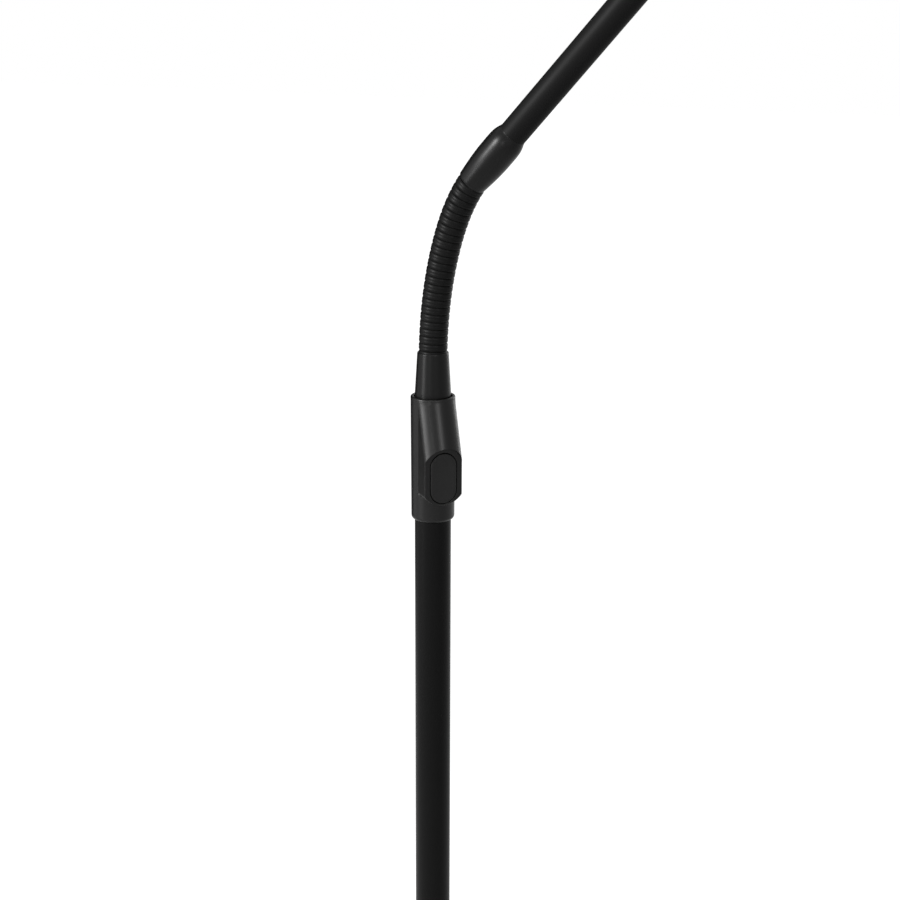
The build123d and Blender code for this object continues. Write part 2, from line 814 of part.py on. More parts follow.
def at_screws():
    """Places of the four bezel screws."""
    spread_x = head_length - 2 * screw_inset_x
    spread_y = head_width - 2 * screw_inset_y
    return [
        (head_middle + side_x * spread_x / 2, side_y * spread_y / 2) for side_x in (-1, 1) for side_y in (-1, 1)
    ]


foot_start = head_start + head_wall + face_gap
foot_end = foot_start + foot_length
foot_bottom = roof_inside - foot_thickness
driver_start = foot_end + face_gap
driver_end = driver_start + driver_length
key_position = driver_start + driver_length / 3
rib_start = driver_end + board_inset
rib_end = head_start + head_length - foot_length
foot_screw_position = foot_end - screw_head_radius - driver_parts_height

# aluminium shell, open below, with posts for the screws and a rib that the board lies against
with BuildPart() as head_shell:
    with BuildSketch(head_plane.offset(bezel_top)):
        head_outline(0)
    extrude(amount=head_roof - bezel_top)
    roof = head_shell.faces().sort_by(Axis(origin=(0, 0, 0), direction=head_plane.z_dir))[-1]
    chamfer(roof.edges(), head_top_bevel)
    with BuildSketch(head_plane.offset(bezel_top)):
        head_outline(head_wall)
    extrude(amount=roof_inside - bezel_top, mode=Mode.SUBTRACT)
    with BuildSketch(head_plane.offset(board_top)):
        with Locations(((rib_start + rib_end) / 2, 0)):
            Rectangle(rib_end - rib_start, rib_thickness)
    extrude(amount=roof_inside - board_top)
    with BuildSketch(head_plane.offset(bezel_top)):
        with Locations(*at_screws()):
            Circle(post_radius)
            Circle(screw_radius + fit_gap, mode=Mode.SUBTRACT)
    extrude(amount=roof_inside - bezel_top)
    # slot for the tongue, blind holes for its screws, and the hole for the power key
    with BuildSketch(head_side):
        with Locations((head_start, 0)):
            Rectangle(4 * head_wall, 2 * (tongue_half_height + face_gap))
    extrude(amount=tongue_thickness / 2 + face_gap, both=True, mode=Mode.SUBTRACT)
    with BuildSketch(head_plane.offset(roof_inside)):
        with GridLocations(0, foot_screw_spacing, 1, 2):
            with Locations((foot_screw_position, 0)):
                Circle(screw_radius + fit_gap)
    extrude(amount=foot_screw_bite, mode=Mode.SUBTRACT)
    with BuildSketch(head_plane):
        with Locations((key_position, 0)):
            Circle(key_radius + free_gap)
    extrude(amount=head_height, mode=Mode.SUBTRACT)
save(head_shell, "head_shell")

# steel tongue: a round eye between the fork's cheeks, and a foot screwed under the roof
with BuildPart() as head_tongue:
    with BuildSketch(head_side):
        Circle(tongue_radius)
        with Locations((foot_start / 2, 0)):
            Rectangle(foot_start, 2 * tongue_half_height)
        with BuildLine():
            Polyline(
                (foot_start, -tongue_half_height),
                (foot_start + head_wall, foot_bottom),
                (foot_start + head_wall, roof_inside),
                (foot_start, roof_inside),
                close=True,
            )
        make_face()
        Circle(knuckle_bolt_radius + fit_gap, mode=Mode.SUBTRACT)
    extrude(amount=tongue_thickness / 2, both=True)
    with BuildSketch(head_plane.offset(foot_bottom)):
        with Locations((foot_start + foot_length / 2, 0)):
            Rectangle(foot_length, foot_width)
        with GridLocations(0, foot_screw_spacing, 1, 2):
            with Locations((foot_screw_position, 0)):
                Circle(screw_radius + fit_gap, mode=Mode.SUBTRACT)
    extrude(amount=foot_thickness)
save(head_tongue, "head_tongue")

with BuildPart() as tongue_screws:
    with BuildSketch(head_plane.offset(foot_bottom - foot_screw_head)):
        with GridLocations(0, foot_screw_spacing, 1, 2):
            with Locations((foot_screw_position, 0)):
                Circle(screw_head_radius)
    extrude(amount=foot_screw_head)
    with BuildSketch(head_plane.offset(foot_bottom)):
        with GridLocations(0, foot_screw_spacing, 1, 2):
            with Locations((foot_screw_position, 0)):
                Circle(screw_radius)
    extrude(amount=foot_thickness + foot_screw_bite)
save(tongue_screws, "tongue_screws")

# frame round the diffuser: a slim ledge below and a pocket above, countersunk for its screws
with BuildPart() as head_bezel:
    with BuildSketch(head_plane.offset(head_floor)):
        head_outline(0)
    extrude(amount=bezel_thickness)
    with BuildSketch(head_plane.offset(head_floor)):
        head_outline(bezel_border)
    extrude(amount=bezel_thickness, mode=Mode.SUBTRACT)
    with BuildSketch(head_plane.offset(bezel_top)):
        head_outline(bezel_border - diffuser_step)
    extrude(amount=-diffuser_thickness, mode=Mode.SUBTRACT)
    with BuildSketch(head_plane.offset(head_floor)):
        with Locations(*at_screws()):
            Circle(screw_radius + fit_gap)
    extrude(amount=bezel_thickness, mode=Mode.SUBTRACT)
    with BuildSketch(head_plane.offset(head_floor)):
        with Locations(*at_screws()):
            Circle(screw_head_radius + fit_gap)
    extrude(amount=screw_head_radius - screw_radius, taper=45, mode=Mode.SUBTRACT)
save(head_bezel, "head_bezel")

with BuildPart() as bezel_screws:
    with BuildSketch(head_plane.offset(head_floor)):
        with Locations(*at_screws()):
            Circle(screw_radius)
    extrude(amount=screw_length)
    with BuildSketch(head_plane.offset(head_floor)):
        with Locations(*at_screws()):
            Circle(screw_head_radius)
    extrude(amount=screw_head_radius - screw_radius, taper=45)
save(bezel_screws, "bezel_screws")

with BuildPart() as diffuser:
    with BuildSketch(head_plane.offset(bezel_top - diffuser_thickness)):
        head_outline(bezel_border - diffuser_step + fit_gap)
    extrude(amount=diffuser_thickness)
save(diffuser, "diffuser")

with BuildPart() as led_board:
    with BuildSketch(head_plane.offset(board_bottom)):
        head_outline(head_wall + board_inset)
        with Locations(*at_screws()):
            Circle(post_radius + free_gap, mode=Mode.SUBTRACT)
    extrude(amount=board_thickness)
save(led_board, "led_board")

with BuildPart() as led_chips:
    with BuildSketch(head_plane.offset(board_bottom)):
        with Locations((head_middle, 0)):
            with GridLocations(chip_pitch_x, chip_pitch_y, chip_columns, chip_rows):
                Rectangle(chip_size, chip_size)
    extrude(amount=-chip_height)
save(led_chips, "led_chips")

# driver board on top of the LED board, with the key's switch and three blocks of parts
driver_top = board_top + board_thickness
switch_top = roof_inside - key_flange - key_travel - face_gap
with BuildPart() as driver_board:
    with BuildSketch(head_plane.offset(board_top)):
        with Locations(((driver_start + driver_end) / 2, 0)):
            Rectangle(driver_length, driver_width)
    extrude(amount=board_thickness)
    with BuildSketch(head_plane.offset(driver_top)):
        with Locations((key_position, 0)):
            Rectangle(key_radius, key_radius)
    extrude(amount=switch_top - driver_top)
    with BuildSketch(head_plane.offset(driver_top)):
        with Locations((driver_end - key_radius, 0)):
            with GridLocations(0, key_radius + driver_parts_height, 1, 3):
                Rectangle(key_radius, key_radius)
    extrude(amount=driver_parts_height)
save(driver_board, "driver_board")

# power key, kept in by its flange under the roof
with BuildPart() as power_key:
    with BuildSketch(head_plane.offset(roof_inside - key_flange)):
        with Locations((key_position, 0)):
            Circle(key_radius + key_flange)
    extrude(amount=key_flange)
    with BuildSketch(head_plane.offset(roof_inside)):
        with Locations((key_position, 0)):
            Circle(key_radius)
    extrude(amount=head_wall + key_proud)
    crown = power_key.faces().sort_by(Axis(origin=(0, 0, 0), direction=head_plane.z_dir))[-1]
    chamfer(crown.edges(), key_bevel)
    with BuildSketch(head_plane.offset(head_roof + key_proud)):
        with Locations((key_position, 0)):
            Circle(key_radius - button_rim)
    extrude(amount=-key_dish, mode=Mode.SUBTRACT)
save(power_key, "power_key")
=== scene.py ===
# %% [markdown]
# # A gooseneck reading floor lamp
# The mechanical model comes from CAD and arrives as a fixed frame: every body, joint and size is settled.
# This notebook dresses that frame. Each outer piece that the eye reads as one smooth form is worked out
# again as a surface on a grid, in the same place, and every inner piece keeps its CAD mesh and gets a finish.

import json
from math import cos, pi, radians, sin

import bmesh
import bpy
import numpy as np
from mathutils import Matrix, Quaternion, Vector


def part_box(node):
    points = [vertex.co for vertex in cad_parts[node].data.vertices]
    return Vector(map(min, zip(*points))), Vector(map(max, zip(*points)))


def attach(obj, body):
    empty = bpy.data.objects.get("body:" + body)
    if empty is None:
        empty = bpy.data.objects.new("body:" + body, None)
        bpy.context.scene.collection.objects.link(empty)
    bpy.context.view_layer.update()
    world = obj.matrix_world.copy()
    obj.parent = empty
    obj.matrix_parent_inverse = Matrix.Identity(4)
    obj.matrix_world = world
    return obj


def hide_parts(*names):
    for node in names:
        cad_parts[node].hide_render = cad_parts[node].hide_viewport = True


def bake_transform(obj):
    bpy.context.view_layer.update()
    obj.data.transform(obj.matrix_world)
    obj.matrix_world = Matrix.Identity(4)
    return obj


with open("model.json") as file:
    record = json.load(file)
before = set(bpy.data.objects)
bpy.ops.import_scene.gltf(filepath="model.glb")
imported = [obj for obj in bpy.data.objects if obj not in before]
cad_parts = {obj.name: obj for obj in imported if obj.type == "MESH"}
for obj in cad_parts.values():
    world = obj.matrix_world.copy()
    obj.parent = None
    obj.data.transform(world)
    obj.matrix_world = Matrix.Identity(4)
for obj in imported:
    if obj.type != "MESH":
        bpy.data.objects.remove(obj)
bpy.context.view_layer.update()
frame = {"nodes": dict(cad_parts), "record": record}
print("nodes:", len(frame["nodes"]))

# %% [markdown]
# ## Grids into meshes
# Almost every outer part of this lamp is turned, drawn or moulded, so its skin is a function of two numbers:
# how far along, and how far round. Such a skin could be modelled by hand with loop cuts and subdivision.
# Here it is computed as an array of points, because then the sizes stay exact and easy to change.

# %% A grid of points becomes a closed mesh
MM = 0.001
SHARP = radians(38)


def grid_faces(rows, columns, wrap_rows):
    """Corner numbers of the quads of a grid whose columns run round; the rows close too if they wrap."""
    row = np.arange(rows if wrap_rows else rows - 1)[:, None]
    column = np.arange(columns)[None, :]
    next_row, next_column = (row + 1) % rows, (column + 1) % columns
    corners = [row * columns + column, row * columns + next_column]
    corners += [next_row * columns + next_column, next_row * columns + column]
    return np.stack(corners, axis=-1).reshape(-1, 4)


def make_mesh(name, points, faces, lids=()):
    """Mesh of the points in metres, with quads, and with lids that each close a ring of corners."""
    mesh = bpy.data.meshes.new(name)
    mesh.from_pydata(points.tolist(), [], faces.tolist() + [list(lid) for lid in lids])
    shape = bmesh.new()
    shape.from_mesh(mesh)
    bmesh.ops.remove_doubles(shape, verts=shape.verts, dist=1e-7)
    bmesh.ops.recalc_face_normals(shape, faces=shape.faces)
    if shape.calc_volume(signed=True) < 0:
        bmesh.ops.reverse_faces(shape, faces=shape.faces)
    shape.to_mesh(mesh)
    shape.free()
    return mesh


def finish_shading(mesh):
    """Smooth shading, with creases where faces meet at more than the SHARP angle."""
    mesh.polygons.foreach_set("use_smooth", np.ones(len(mesh.polygons), bool))
    mesh.set_sharp_from_angle(angle=SHARP)


def new_object(name, data):
    """Object of some data, linked to the scene."""
    made = bpy.data.objects.new(name, data)
    bpy.context.scene.collection.objects.link(made)
    return made


def add_piece(name, mesh, finish):
    """Object of a finished mesh, at the origin, with its finish."""
    mesh.materials.clear()
    finish_shading(mesh)
    piece = new_object(name, mesh)
    mesh.materials.append(finish)
    print(name, len(mesh.vertices), "points")
    return piece


def grid_mesh(name, grid, wrap_rows=True):
    """Mesh of a grid (rows, columns, 3) in millimetres; without wrapping rows, flat lids close both ends."""
    rows, columns = grid.shape[:2]
    lids = [] if wrap_rows else [range(columns), range((rows - 1) * columns, rows * columns)]
    return make_mesh(name, grid.reshape(-1, 3) * MM, grid_faces(rows, columns, wrap_rows), lids)


# %% [markdown]
# ## Places on the lamp
# The neck is a row of short ribbed lengths, each turned a little from the one before, so the places of its
# joints come from adding those turns up. The arm follows the last one, and the head hangs from a knuckle.

# %% Frames of the neck, the arm and the head
NECK_START = 920.6
LINK = 16.8
BENDS = np.radians([2.8, 2.9, 3.2, 3.5, 3.9, 5.5, 8.4, 12.1])
LEANS = np.cumsum(BENDS)
STEPS = LINK * np.stack([np.sin(LEANS), 0 * LEANS, np.cos(LEANS)], axis=1)
JOINTS = np.array([0, 0, NECK_START]) + np.vstack([[0, 0, 0], np.cumsum(STEPS[:-1], axis=0)])
ARM_LEAN = LEANS[-1]
ARM_ALONG = np.array([sin(ARM_LEAN), 0, cos(ARM_LEAN)])
SIDEWAYS = np.array([0.0, 1.0, 0.0])
UP = np.array([0.0, 0.0, 1.0])
TILT_REACH = 344.0
TILT_POINT = JOINTS[-1] + TILT_REACH * ARM_ALONG
DROOP = radians(8)
HEAD_ALONG = np.array([cos(DROOP), 0, -sin(DROOP)])
HEAD_UP = np.array([sin(DROOP), 0, cos(DROOP)])
BOSS_TURN = radians(-40)
BOSS_OUT = np.array([cos(BOSS_TURN), sin(BOSS_TURN), 0])
BOSS_SIDE = np.array([-sin(BOSS_TURN), cos(BOSS_TURN), 0])
print("last neck joint", JOINTS[-1].round(2), "tilt axis", TILT_POINT.round(2))

# %% [markdown]
# ## Turned pieces
# A tube, a ring or a pressed cover is a profile turned round an axis. A tool's nose or a press leaves small
# arcs in the corners of the real piece. They could be added to the mesh as bevels, but it is simpler to put
# the arcs into the profile before it is turned.


# %% Rounded profiles and the lathe
STRAIGHT = 1.55


def rounded_profile(corners, radii, steps=6, support=0.25):
    """Closed profile with its corners rounded. Each corner is replaced by an arc that touches both of its
    sides, and a support point on each side, a quarter of the radius further, keeps the flat parts flat."""
    corners = np.asarray(corners, float)
    before = np.roll(corners, 1, axis=0) - corners
    after = np.roll(corners, -1, axis=0) - corners
    before /= np.linalg.norm(before, axis=1, keepdims=True)
    after /= np.linalg.norm(after, axis=1, keepdims=True)
    outline = []
    for corner, back, ahead, radius in zip(corners, before, after, radii):
        half = np.arccos(np.clip(back @ ahead, -1, 1)) / 2
        if radius == 0 or half > STRAIGHT:
            outline.append(corner[None])
            continue
        reach = radius / np.tan(half)
        middle = (back + ahead) / np.linalg.norm(back + ahead)
        centre = corner + middle * radius / np.sin(half)
        start, end = corner + back * reach - centre, corner + ahead * reach - centre
        sweep = pi - 2 * half
        turn = np.linspace(0, 1, steps)[:, None]
        arc = (np.sin((1 - turn) * sweep) * start + np.sin(turn * sweep) * end) / np.sin(sweep)
        outline.append(corner[None] + back[None] * (reach + support * radius))
        outline.append(centre + arc)
        outline.append(corner[None] + ahead[None] * (reach + support * radius))
    return np.vstack(outline)


def lathe_grid(profile, origin, along, segments=96):
    """A profile of (radius, height) turned round an axis: centre plus radius times the turning direction,
    plus height along the axis."""
    along = np.asarray(along, float)
    across = np.cross(SIDEWAYS, along)
    angle = np.arange(segments) * 2 * pi / segments
    turning = np.cos(angle)[:, None] * across + np.sin(angle)[:, None] * SIDEWAYS
    return origin + profile[:, 0, None, None] * turning + profile[:, 1, None, None] * along


def lathe(name, corners, radii, finish, origin=(0, 0, 0), along=UP, segments=96):
    """Turned piece from the corners of its profile, closed round its bore."""
    grid = lathe_grid(rounded_profile(corners, radii), np.asarray(origin, float), along, segments)
    return add_piece(name, grid_mesh(name, grid), finish)


def tube_piece(name, radius, bore, low, high, radii, finish, origin=(0, 0, 0), along=UP):
    """Steel tube from one height along its axis to another."""
    corners = [(radius, low), (radius, high), (bore, high), (bore, low)]
    return lathe(name, corners, radii, finish, origin, along, 128)


print("turned pieces can be made")

# %% [markdown]
# ## Finishes as formulas
# A finish is more than a colour: powder coat has a fine orange peel, moulded plastic a spark-eroded grain,
# and a handled surface is a little smoother where it is touched. Each of these is a small formula of noise
# over the object's own coordinates. The class below lets such a formula be written with plain signs.


# %% A socket that can be added and multiplied
class Wire:
    """One shader value. Each sign adds a Math node, also when a plain number stands first."""

    def __init__(self, finish, socket):
        self.finish, self.socket = finish, socket

    def math(self, operation, first, second):
        return self.finish.node("ShaderNodeMath", {"operation": operation}, {0: first, 1: second})

    def __add__(self, other):
        return self.math("ADD", self, other)

    def __radd__(self, other):
        return self.math("ADD", other, self)

    def __sub__(self, other):
        return self.math("SUBTRACT", self, other)

    def __rsub__(self, other):
        return self.math("SUBTRACT", other, self)

    def __mul__(self, other):
        return self.math("MULTIPLY", self, other)

    def __rmul__(self, other):
        return self.math("MULTIPLY", other, self)


class Finish:
    """One material, or the world's shader, under construction, with a method that adds any node to it."""

    def __init__(self, name, library=None):
        self.owner = (bpy.data.materials if library is None else library).new(name)
        self.owner.use_nodes = True
        self.tree = self.owner.node_tree
        self.tree.nodes.clear()

    def node(self, kind, settings=None, sockets=None, output=0):
        """Adds a node: first its settings, then its sockets' values or links."""
        made = self.tree.nodes.new(kind)
        for name, value in (settings or {}).items():
            setattr(made, name, value)
        for name, value in (sockets or {}).items():
            if isinstance(value, Wire):
                self.tree.links.new(value.socket, made.inputs[name])
            else:
                made.inputs[name].default_value = value
        return Wire(self, made.outputs[output])

    def place(self):
        """The object's own coordinates, in metres."""
        return self.node("ShaderNodeTexCoord", output="Object")

    def noise(self, size_mm, detail=3.0, roughness=0.5, stretch=None):
        """Noise between 0 and 1 whose blotches are about size_mm wide; stretch scales the three axes."""
        where = self.place()
        if stretch:
            where = self.node("ShaderNodeMapping", {}, {"Vector": where, "Scale": stretch})
        sockets = {"Vector": where, "Scale": 1000 / size_mm, "Detail": detail, "Roughness": roughness}
        return self.node("ShaderNodeTexNoise", {}, sockets, output=0)

    def ramp(self, value, low, high):
        """A smooth step from 0 to 1 as the value goes from low to high."""
        settings = {"interpolation_type": "SMOOTHSTEP"}
        sockets = {"Value": value, "From Min": low, "From Max": high}
        return self.node("ShaderNodeMapRange", settings, sockets)

    def blend(self, factor, first, second):
        """A colour between two colours."""
        sockets = {0: factor, 6: first, 7: second}
        return self.node("ShaderNodeMix", {"data_type": "RGBA"}, sockets, output=2)

    def bump(self, height, depth_mm, strength=1.0):
        """A normal tipped by a height from 0 to 1 that stands for depth_mm."""
        sockets = {"Height": height, "Distance": depth_mm * MM, "Strength": strength}
        return self.node("ShaderNodeBump", {}, sockets)

    def close(self, **sockets):
        """Ends the finish in a Principled shader."""
        named = {name.replace("_", " "): value for name, value in sockets.items()}
        return self.end(self.node("ShaderNodeBsdfPrincipled", {}, named))

    def end(self, shader, kind="ShaderNodeOutputMaterial"):
        """Joins a shader to the output node."""
        out = self.tree.nodes.new(kind)
        self.tree.links.new(shader.socket, out.inputs["Surface"])
        return self.owner


def grey(level, tint=(1.0, 1.0, 1.0)):
    """A colour of an even level, with an optional tint."""
    return (level * tint[0], level * tint[1], level * tint[2], 1.0)


print("finishes can be written as formulas")

# %% [markdown]
# ## Black finishes
# Nearly all of the lamp is black, and black shows through its gloss alone. The tubes have a satin powder
# coat, the moulded housing a finer and duller grain, the thumb button is duller again and a shade lighter,
# and the neck's coating is dull in its grooves where no hand or cloth reaches.


# %% Satin powder coat
def powder_coat(name, level, gloss, peel_mm, sheen):
    """Coat whose roughness drifts with broad noise and whose skin has a fine orange peel."""
    finish = Finish(name)
    drift = finish.noise(60, 2.0)
    peel = finish.noise(peel_mm, 2.0, 0.4)
    dust = finish.ramp(finish.noise(7, 6.0, 0.65), 0.62, 0.8)
    colour = finish.blend(dust * 0.25, grey(level), grey(level * 2.2, (1.0, 0.98, 0.94)))
    rough = gloss + (drift - 0.5) * 0.1 + dust * 0.05
    return finish.close(
        Base_Color=colour,
        Roughness=rough,
        Normal=finish.bump(peel, 0.012, 0.5),
        Specular_IOR_Level=sheen,
    )


pole_coat = powder_coat("pole_coat", 0.002, 0.36, 0.9, 0.05)
arm_coat = powder_coat("arm_coat", 0.003, 0.5, 0.9, 0.04)
ferrule_coat = powder_coat("ferrule_coat", 0.0025, 0.33, 0.7, 0.1)
base_coat = powder_coat("base_coat", 0.003, 0.42, 1.3, 0.1)
print("powder coats made")


# %% Moulded plastics
def moulded(name, level, gloss, grain_mm, grain_depth, sheen=0.16):
    """Moulding with a spark-eroded grain, and faint scuffs that are a little glossier."""
    finish = Finish(name)
    grain = finish.noise(grain_mm, 3.0, 0.6)
    scuffs = finish.ramp(finish.noise(4, 5.0, 0.7, (1.0, 1.0, 0.12)), 0.63, 0.74)
    cloud = finish.noise(25, 3.0)
    colour = finish.blend(cloud, grey(level * 0.9), grey(level * 1.15, (1.0, 0.99, 0.97)))
    rough = gloss + (cloud - 0.5) * 0.08 - scuffs * 0.06 + (grain - 0.5) * 0.08
    normal = finish.bump(grain, grain_depth, 0.6)
    return finish.close(Base_Color=colour, Roughness=rough, Normal=normal, Specular_IOR_Level=sheen)


housing_plastic = moulded("housing_plastic", 0.0028, 0.36, 0.35, 0.008)
button_plastic = moulded("button_plastic", 0.004, 0.5, 0.45, 0.012)
bezel_plastic = moulded("bezel_plastic", 0.003, 0.42, 0.4, 0.01)
guide_plastic = moulded("guide_plastic", 0.6, 0.35, 0.8, 0.006, 0.5)
print("plastics made")


# %% The neck's coating
def ribbed_coat(name, level, gloss, sheen):
    """Coat that reads how deep each point lies in a groove: duller, and with a trace of lint, down there."""
    finish = Finish(name)
    depth = finish.node("ShaderNodeAttribute", {"attribute_name": "groove"}, output="Fac")
    lint = finish.ramp(finish.noise(0.9, 4.0, 0.7), 0.5, 0.75) * depth
    peel = finish.noise(0.6, 2.0, 0.5)
    worn = finish.ramp(finish.noise(5, 4.0, 0.6), 0.45, 0.75) * (1 - depth)
    colour = finish.blend(lint * 0.35, grey(level), grey(level * 2.0, (1.0, 0.98, 0.95)))
    rough = gloss + depth * 0.2 - worn * 0.05 + (peel - 0.5) * 0.06
    normal = finish.bump(peel, 0.01, 0.5)
    return finish.close(Base_Color=colour, Roughness=rough, Normal=normal, Specular_IOR_Level=sheen)


neck_coat = ribbed_coat("neck_coat", 0.0025, 0.42, 0.055)
print("the neck's coating made")

# %% [markdown]
# ## Metals, rubber and the lamp's inside
# Screws are zinc plated, the weight is raw plate, and the foot stands on a rubber sheet. Inside the head
# are a white board with its light sources, and a small green board. They hardly show, but each still gets
# the finish that the real part has.


# %% Metals
def plated(name, level, gloss, streak_mm, tint=(1.0, 1.0, 1.0)):
    """Bare or plated metal with fine streaks of finishing and cloudy handling marks."""
    finish = Finish(name)
    streaks = finish.noise(streak_mm, 4.0, 0.6, (1.0, 1.0, 14.0))
    cloud = finish.noise(9, 4.0, 0.6)
    colour = finish.blend(cloud, grey(level * 0.85, tint), grey(level, tint))
    rough = gloss + (streaks - 0.5) * 0.16 + (cloud - 0.5) * 0.08
    normal = finish.bump(streaks, 0.006, 0.5)
    return finish.close(Base_Color=colour, Roughness=rough, Metallic=1.0, Normal=normal)


zinc = plated("zinc", 0.22, 0.42, 0.5)
raw_plate = plated("raw_plate", 0.22, 0.55, 1.2, (1.0, 0.97, 0.94))
print("metals made")


# %% Rubber, boards, light sources and the diffuser
def speckled(name, base, fleck, gloss, fleck_mm, sheen=0.4, **extra):
    """Plain body with fine flecks of a second colour and a matching fine bump."""
    finish = Finish(name)
    flecks = finish.ramp(finish.noise(fleck_mm, 3.0, 0.6), 0.5, 0.7)
    colour = finish.blend(flecks, base, fleck)
    return finish.close(
        Base_Color=colour,
        Roughness=gloss + flecks * 0.06,
        Normal=finish.bump(flecks, 0.01, 0.4),
        Specular_IOR_Level=sheen,
        **extra,
    )


pad_rubber = speckled("pad_rubber", grey(0.012), grey(0.02), 0.75, 0.8, 0.2)
board_white = speckled("board_white", grey(0.75), grey(0.68, (1.0, 1.0, 0.97)), 0.35, 3.0)
board_green = speckled("board_green", (0.02, 0.12, 0.045, 1), (0.03, 0.17, 0.06, 1), 0.3, 2.0)
phosphor = speckled("phosphor", (0.85, 0.62, 0.12, 1), (0.9, 0.7, 0.2, 1), 0.4, 0.3)
opal = speckled("opal", grey(0.6, (1.0, 0.995, 0.98)), grey(0.55), 0.42, 1.5, Transmission_Weight=0.15)
print("rubber, boards and diffuser made")

# %% A finish for every piece of the CAD
FINISH_OF_SLOT = {
    "black_steel": pole_coat,
    "black_plastic": bezel_plastic,
    "button_plastic": button_plastic,
    "ferrule_finish": ferrule_coat,
    "neck_finish": neck_coat,
    "weight_iron": raw_plate,
    "bright_steel": zinc,
    "pad_rubber": pad_rubber,
    "guide_plastic": guide_plastic,
    "head_alloy": arm_coat,
    "board_white": board_white,
    "board_green": board_green,
    "led_phosphor": phosphor,
    "diffuser_plastic": opal,
}
for part in frame["record"]["subparts"]:
    mesh = frame["nodes"][part["node"]].data
    mesh.materials.clear()
    mesh.materials.append(FINISH_OF_SLOT[part["material_slot"]])

# %% [markdown]
# ## The base
# A heavy steel disc keeps the lamp upright, and a pressed cover hides it. The cover's edge is rolled over a
# generous radius and its top rises slightly to the pole, where a trim ring covers the hole. All of them are
# turned forms, so one rounded profile each is enough.

# %% Cover
BASE_RADIUS, COVER_WALL, COVER_HOLE = 125.0, 1.5, 12.8
COVER_LOW, COVER_EDGE, COVER_TOP = 2.5, 19.7, 22.5
cover_corners = [
    (BASE_RADIUS, COVER_LOW),
    (BASE_RADIUS, COVER_EDGE),
    (COVER_HOLE, COVER_TOP),
    (COVER_HOLE, COVER_TOP - COVER_WALL),
    (BASE_RADIUS - COVER_WALL, COVER_EDGE - COVER_WALL),
    (BASE_RADIUS - COVER_WALL, COVER_LOW),
]
cover_radii = (0.5, 6.0, 0.3, 0, 4.5, 0.3)
base_cover = lathe("base_disc", cover_corners, cover_radii, base_coat, segments=192)
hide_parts("base_cover")
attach(base_cover, "stand")

# %% Trim ring
RING_RADIUS, RING_NECK, RING_BORE = 21.0, 15.0, 12.6
RING_LOW, RING_STEP, RING_HEIGHT = COVER_TOP - 0.25, 2.4, 14.2
ring_corners = [
    (RING_RADIUS, RING_LOW),
    (RING_RADIUS, RING_LOW + RING_STEP),
    (RING_NECK, RING_LOW + RING_HEIGHT),
    (RING_BORE, RING_LOW + RING_HEIGHT),
    (RING_BORE, RING_LOW),
]
pole_ring = lathe("foot_ring", ring_corners, (0, 1.4, 1.2, 0.3, 0), pole_coat)
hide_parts("pole_ring")
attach(pole_ring, "stand")

# %% Pole
pole_radii = (0, 0.3, 0.2, 0)
pole = tube_piece("pole_shaft", 12.5, bore=11.3, low=12.0, high=846.0, radii=pole_radii, finish=pole_coat)
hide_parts("pole_tube")
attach(pole, "stand")

# %% [markdown]
# ## The height lock's housing
# The housing is one moulding: a slim sleeve round the pole, with a boss that carries the thumb button. The
# boss has flat flanks and a flat panel, and its foot is rounded. Its shoulder is a second tube, as wide as
# the rim, that leans outwards on its way down and ends over the panel in a hooded arch. It could be built
# from loose patches, but patches have to meet. Here the whole skin is one radius that depends on the angle
# and the height: the larger of the sleeve's radius and the boss's, blended softly. What the leaning tube
# leaves in front of the panel is cut away.

# %% Radius of the housing's skin
HOUSING_LOW, HOUSING_RIM = 802.0, 889.0
SLEEVE_LOW_RADIUS, SLEEVE_RIM_RADIUS = 14.85, 15.2
BOSS_HALF, BOSS_REACH = 13.5, 19.8
ARCH_RADIUS, ARCH_LEVEL = 14.1, 843.4
ARCH_END = ARCH_LEVEL + np.sqrt(ARCH_RADIUS**2 - BOSS_HALF**2)
SHOULDER_RADIUS, SHOULDER_END = 15.05, 888.0
SHOULDER_SLOPE = (BOSS_REACH - np.sqrt(SHOULDER_RADIUS**2 - BOSS_HALF**2)) / (SHOULDER_END - ARCH_END)
PANEL_ROUND, FLANK_ROUND, SLEEVE_ROUND = 0.1, 0.3, 0.2
SLANT_BELOW_ARCH = 0.7
FOOT_LOW, FOOT_CORNER = 816.3, 823.0
FOOT_ARC = (BOSS_HALF**2 + (FOOT_CORNER - FOOT_LOW) ** 2) / (2 * (FOOT_CORNER - FOOT_LOW))


def soft_less(first, second, softness):
    """The smaller of two lengths, rounded where they meet: minus the log of the sum of exponentials."""
    return -softness * np.logaddexp(-first / softness, -second / softness)


def soft_more(first, second, softness):
    """The larger of two lengths, rounded where they meet."""
    return softness * np.logaddexp(first / softness, second / softness)


def front_reach(across, height):
    """How far the boss's front stands out. Above the panel it is the rim's circle, slid outwards in step with
    the way down, like a leaning tube. From the arch's ends down it is the flat panel."""
    circle = np.sqrt(SHOULDER_RADIUS**2 - across**2)
    leaning = circle + SHOULDER_SLOPE * (SHOULDER_END - height)
    panel = soft_less(leaning, BOSS_REACH + 0 * leaning, PANEL_ROUND)
    return np.where(height > ARCH_END - SLANT_BELOW_ARCH, leaning, panel)


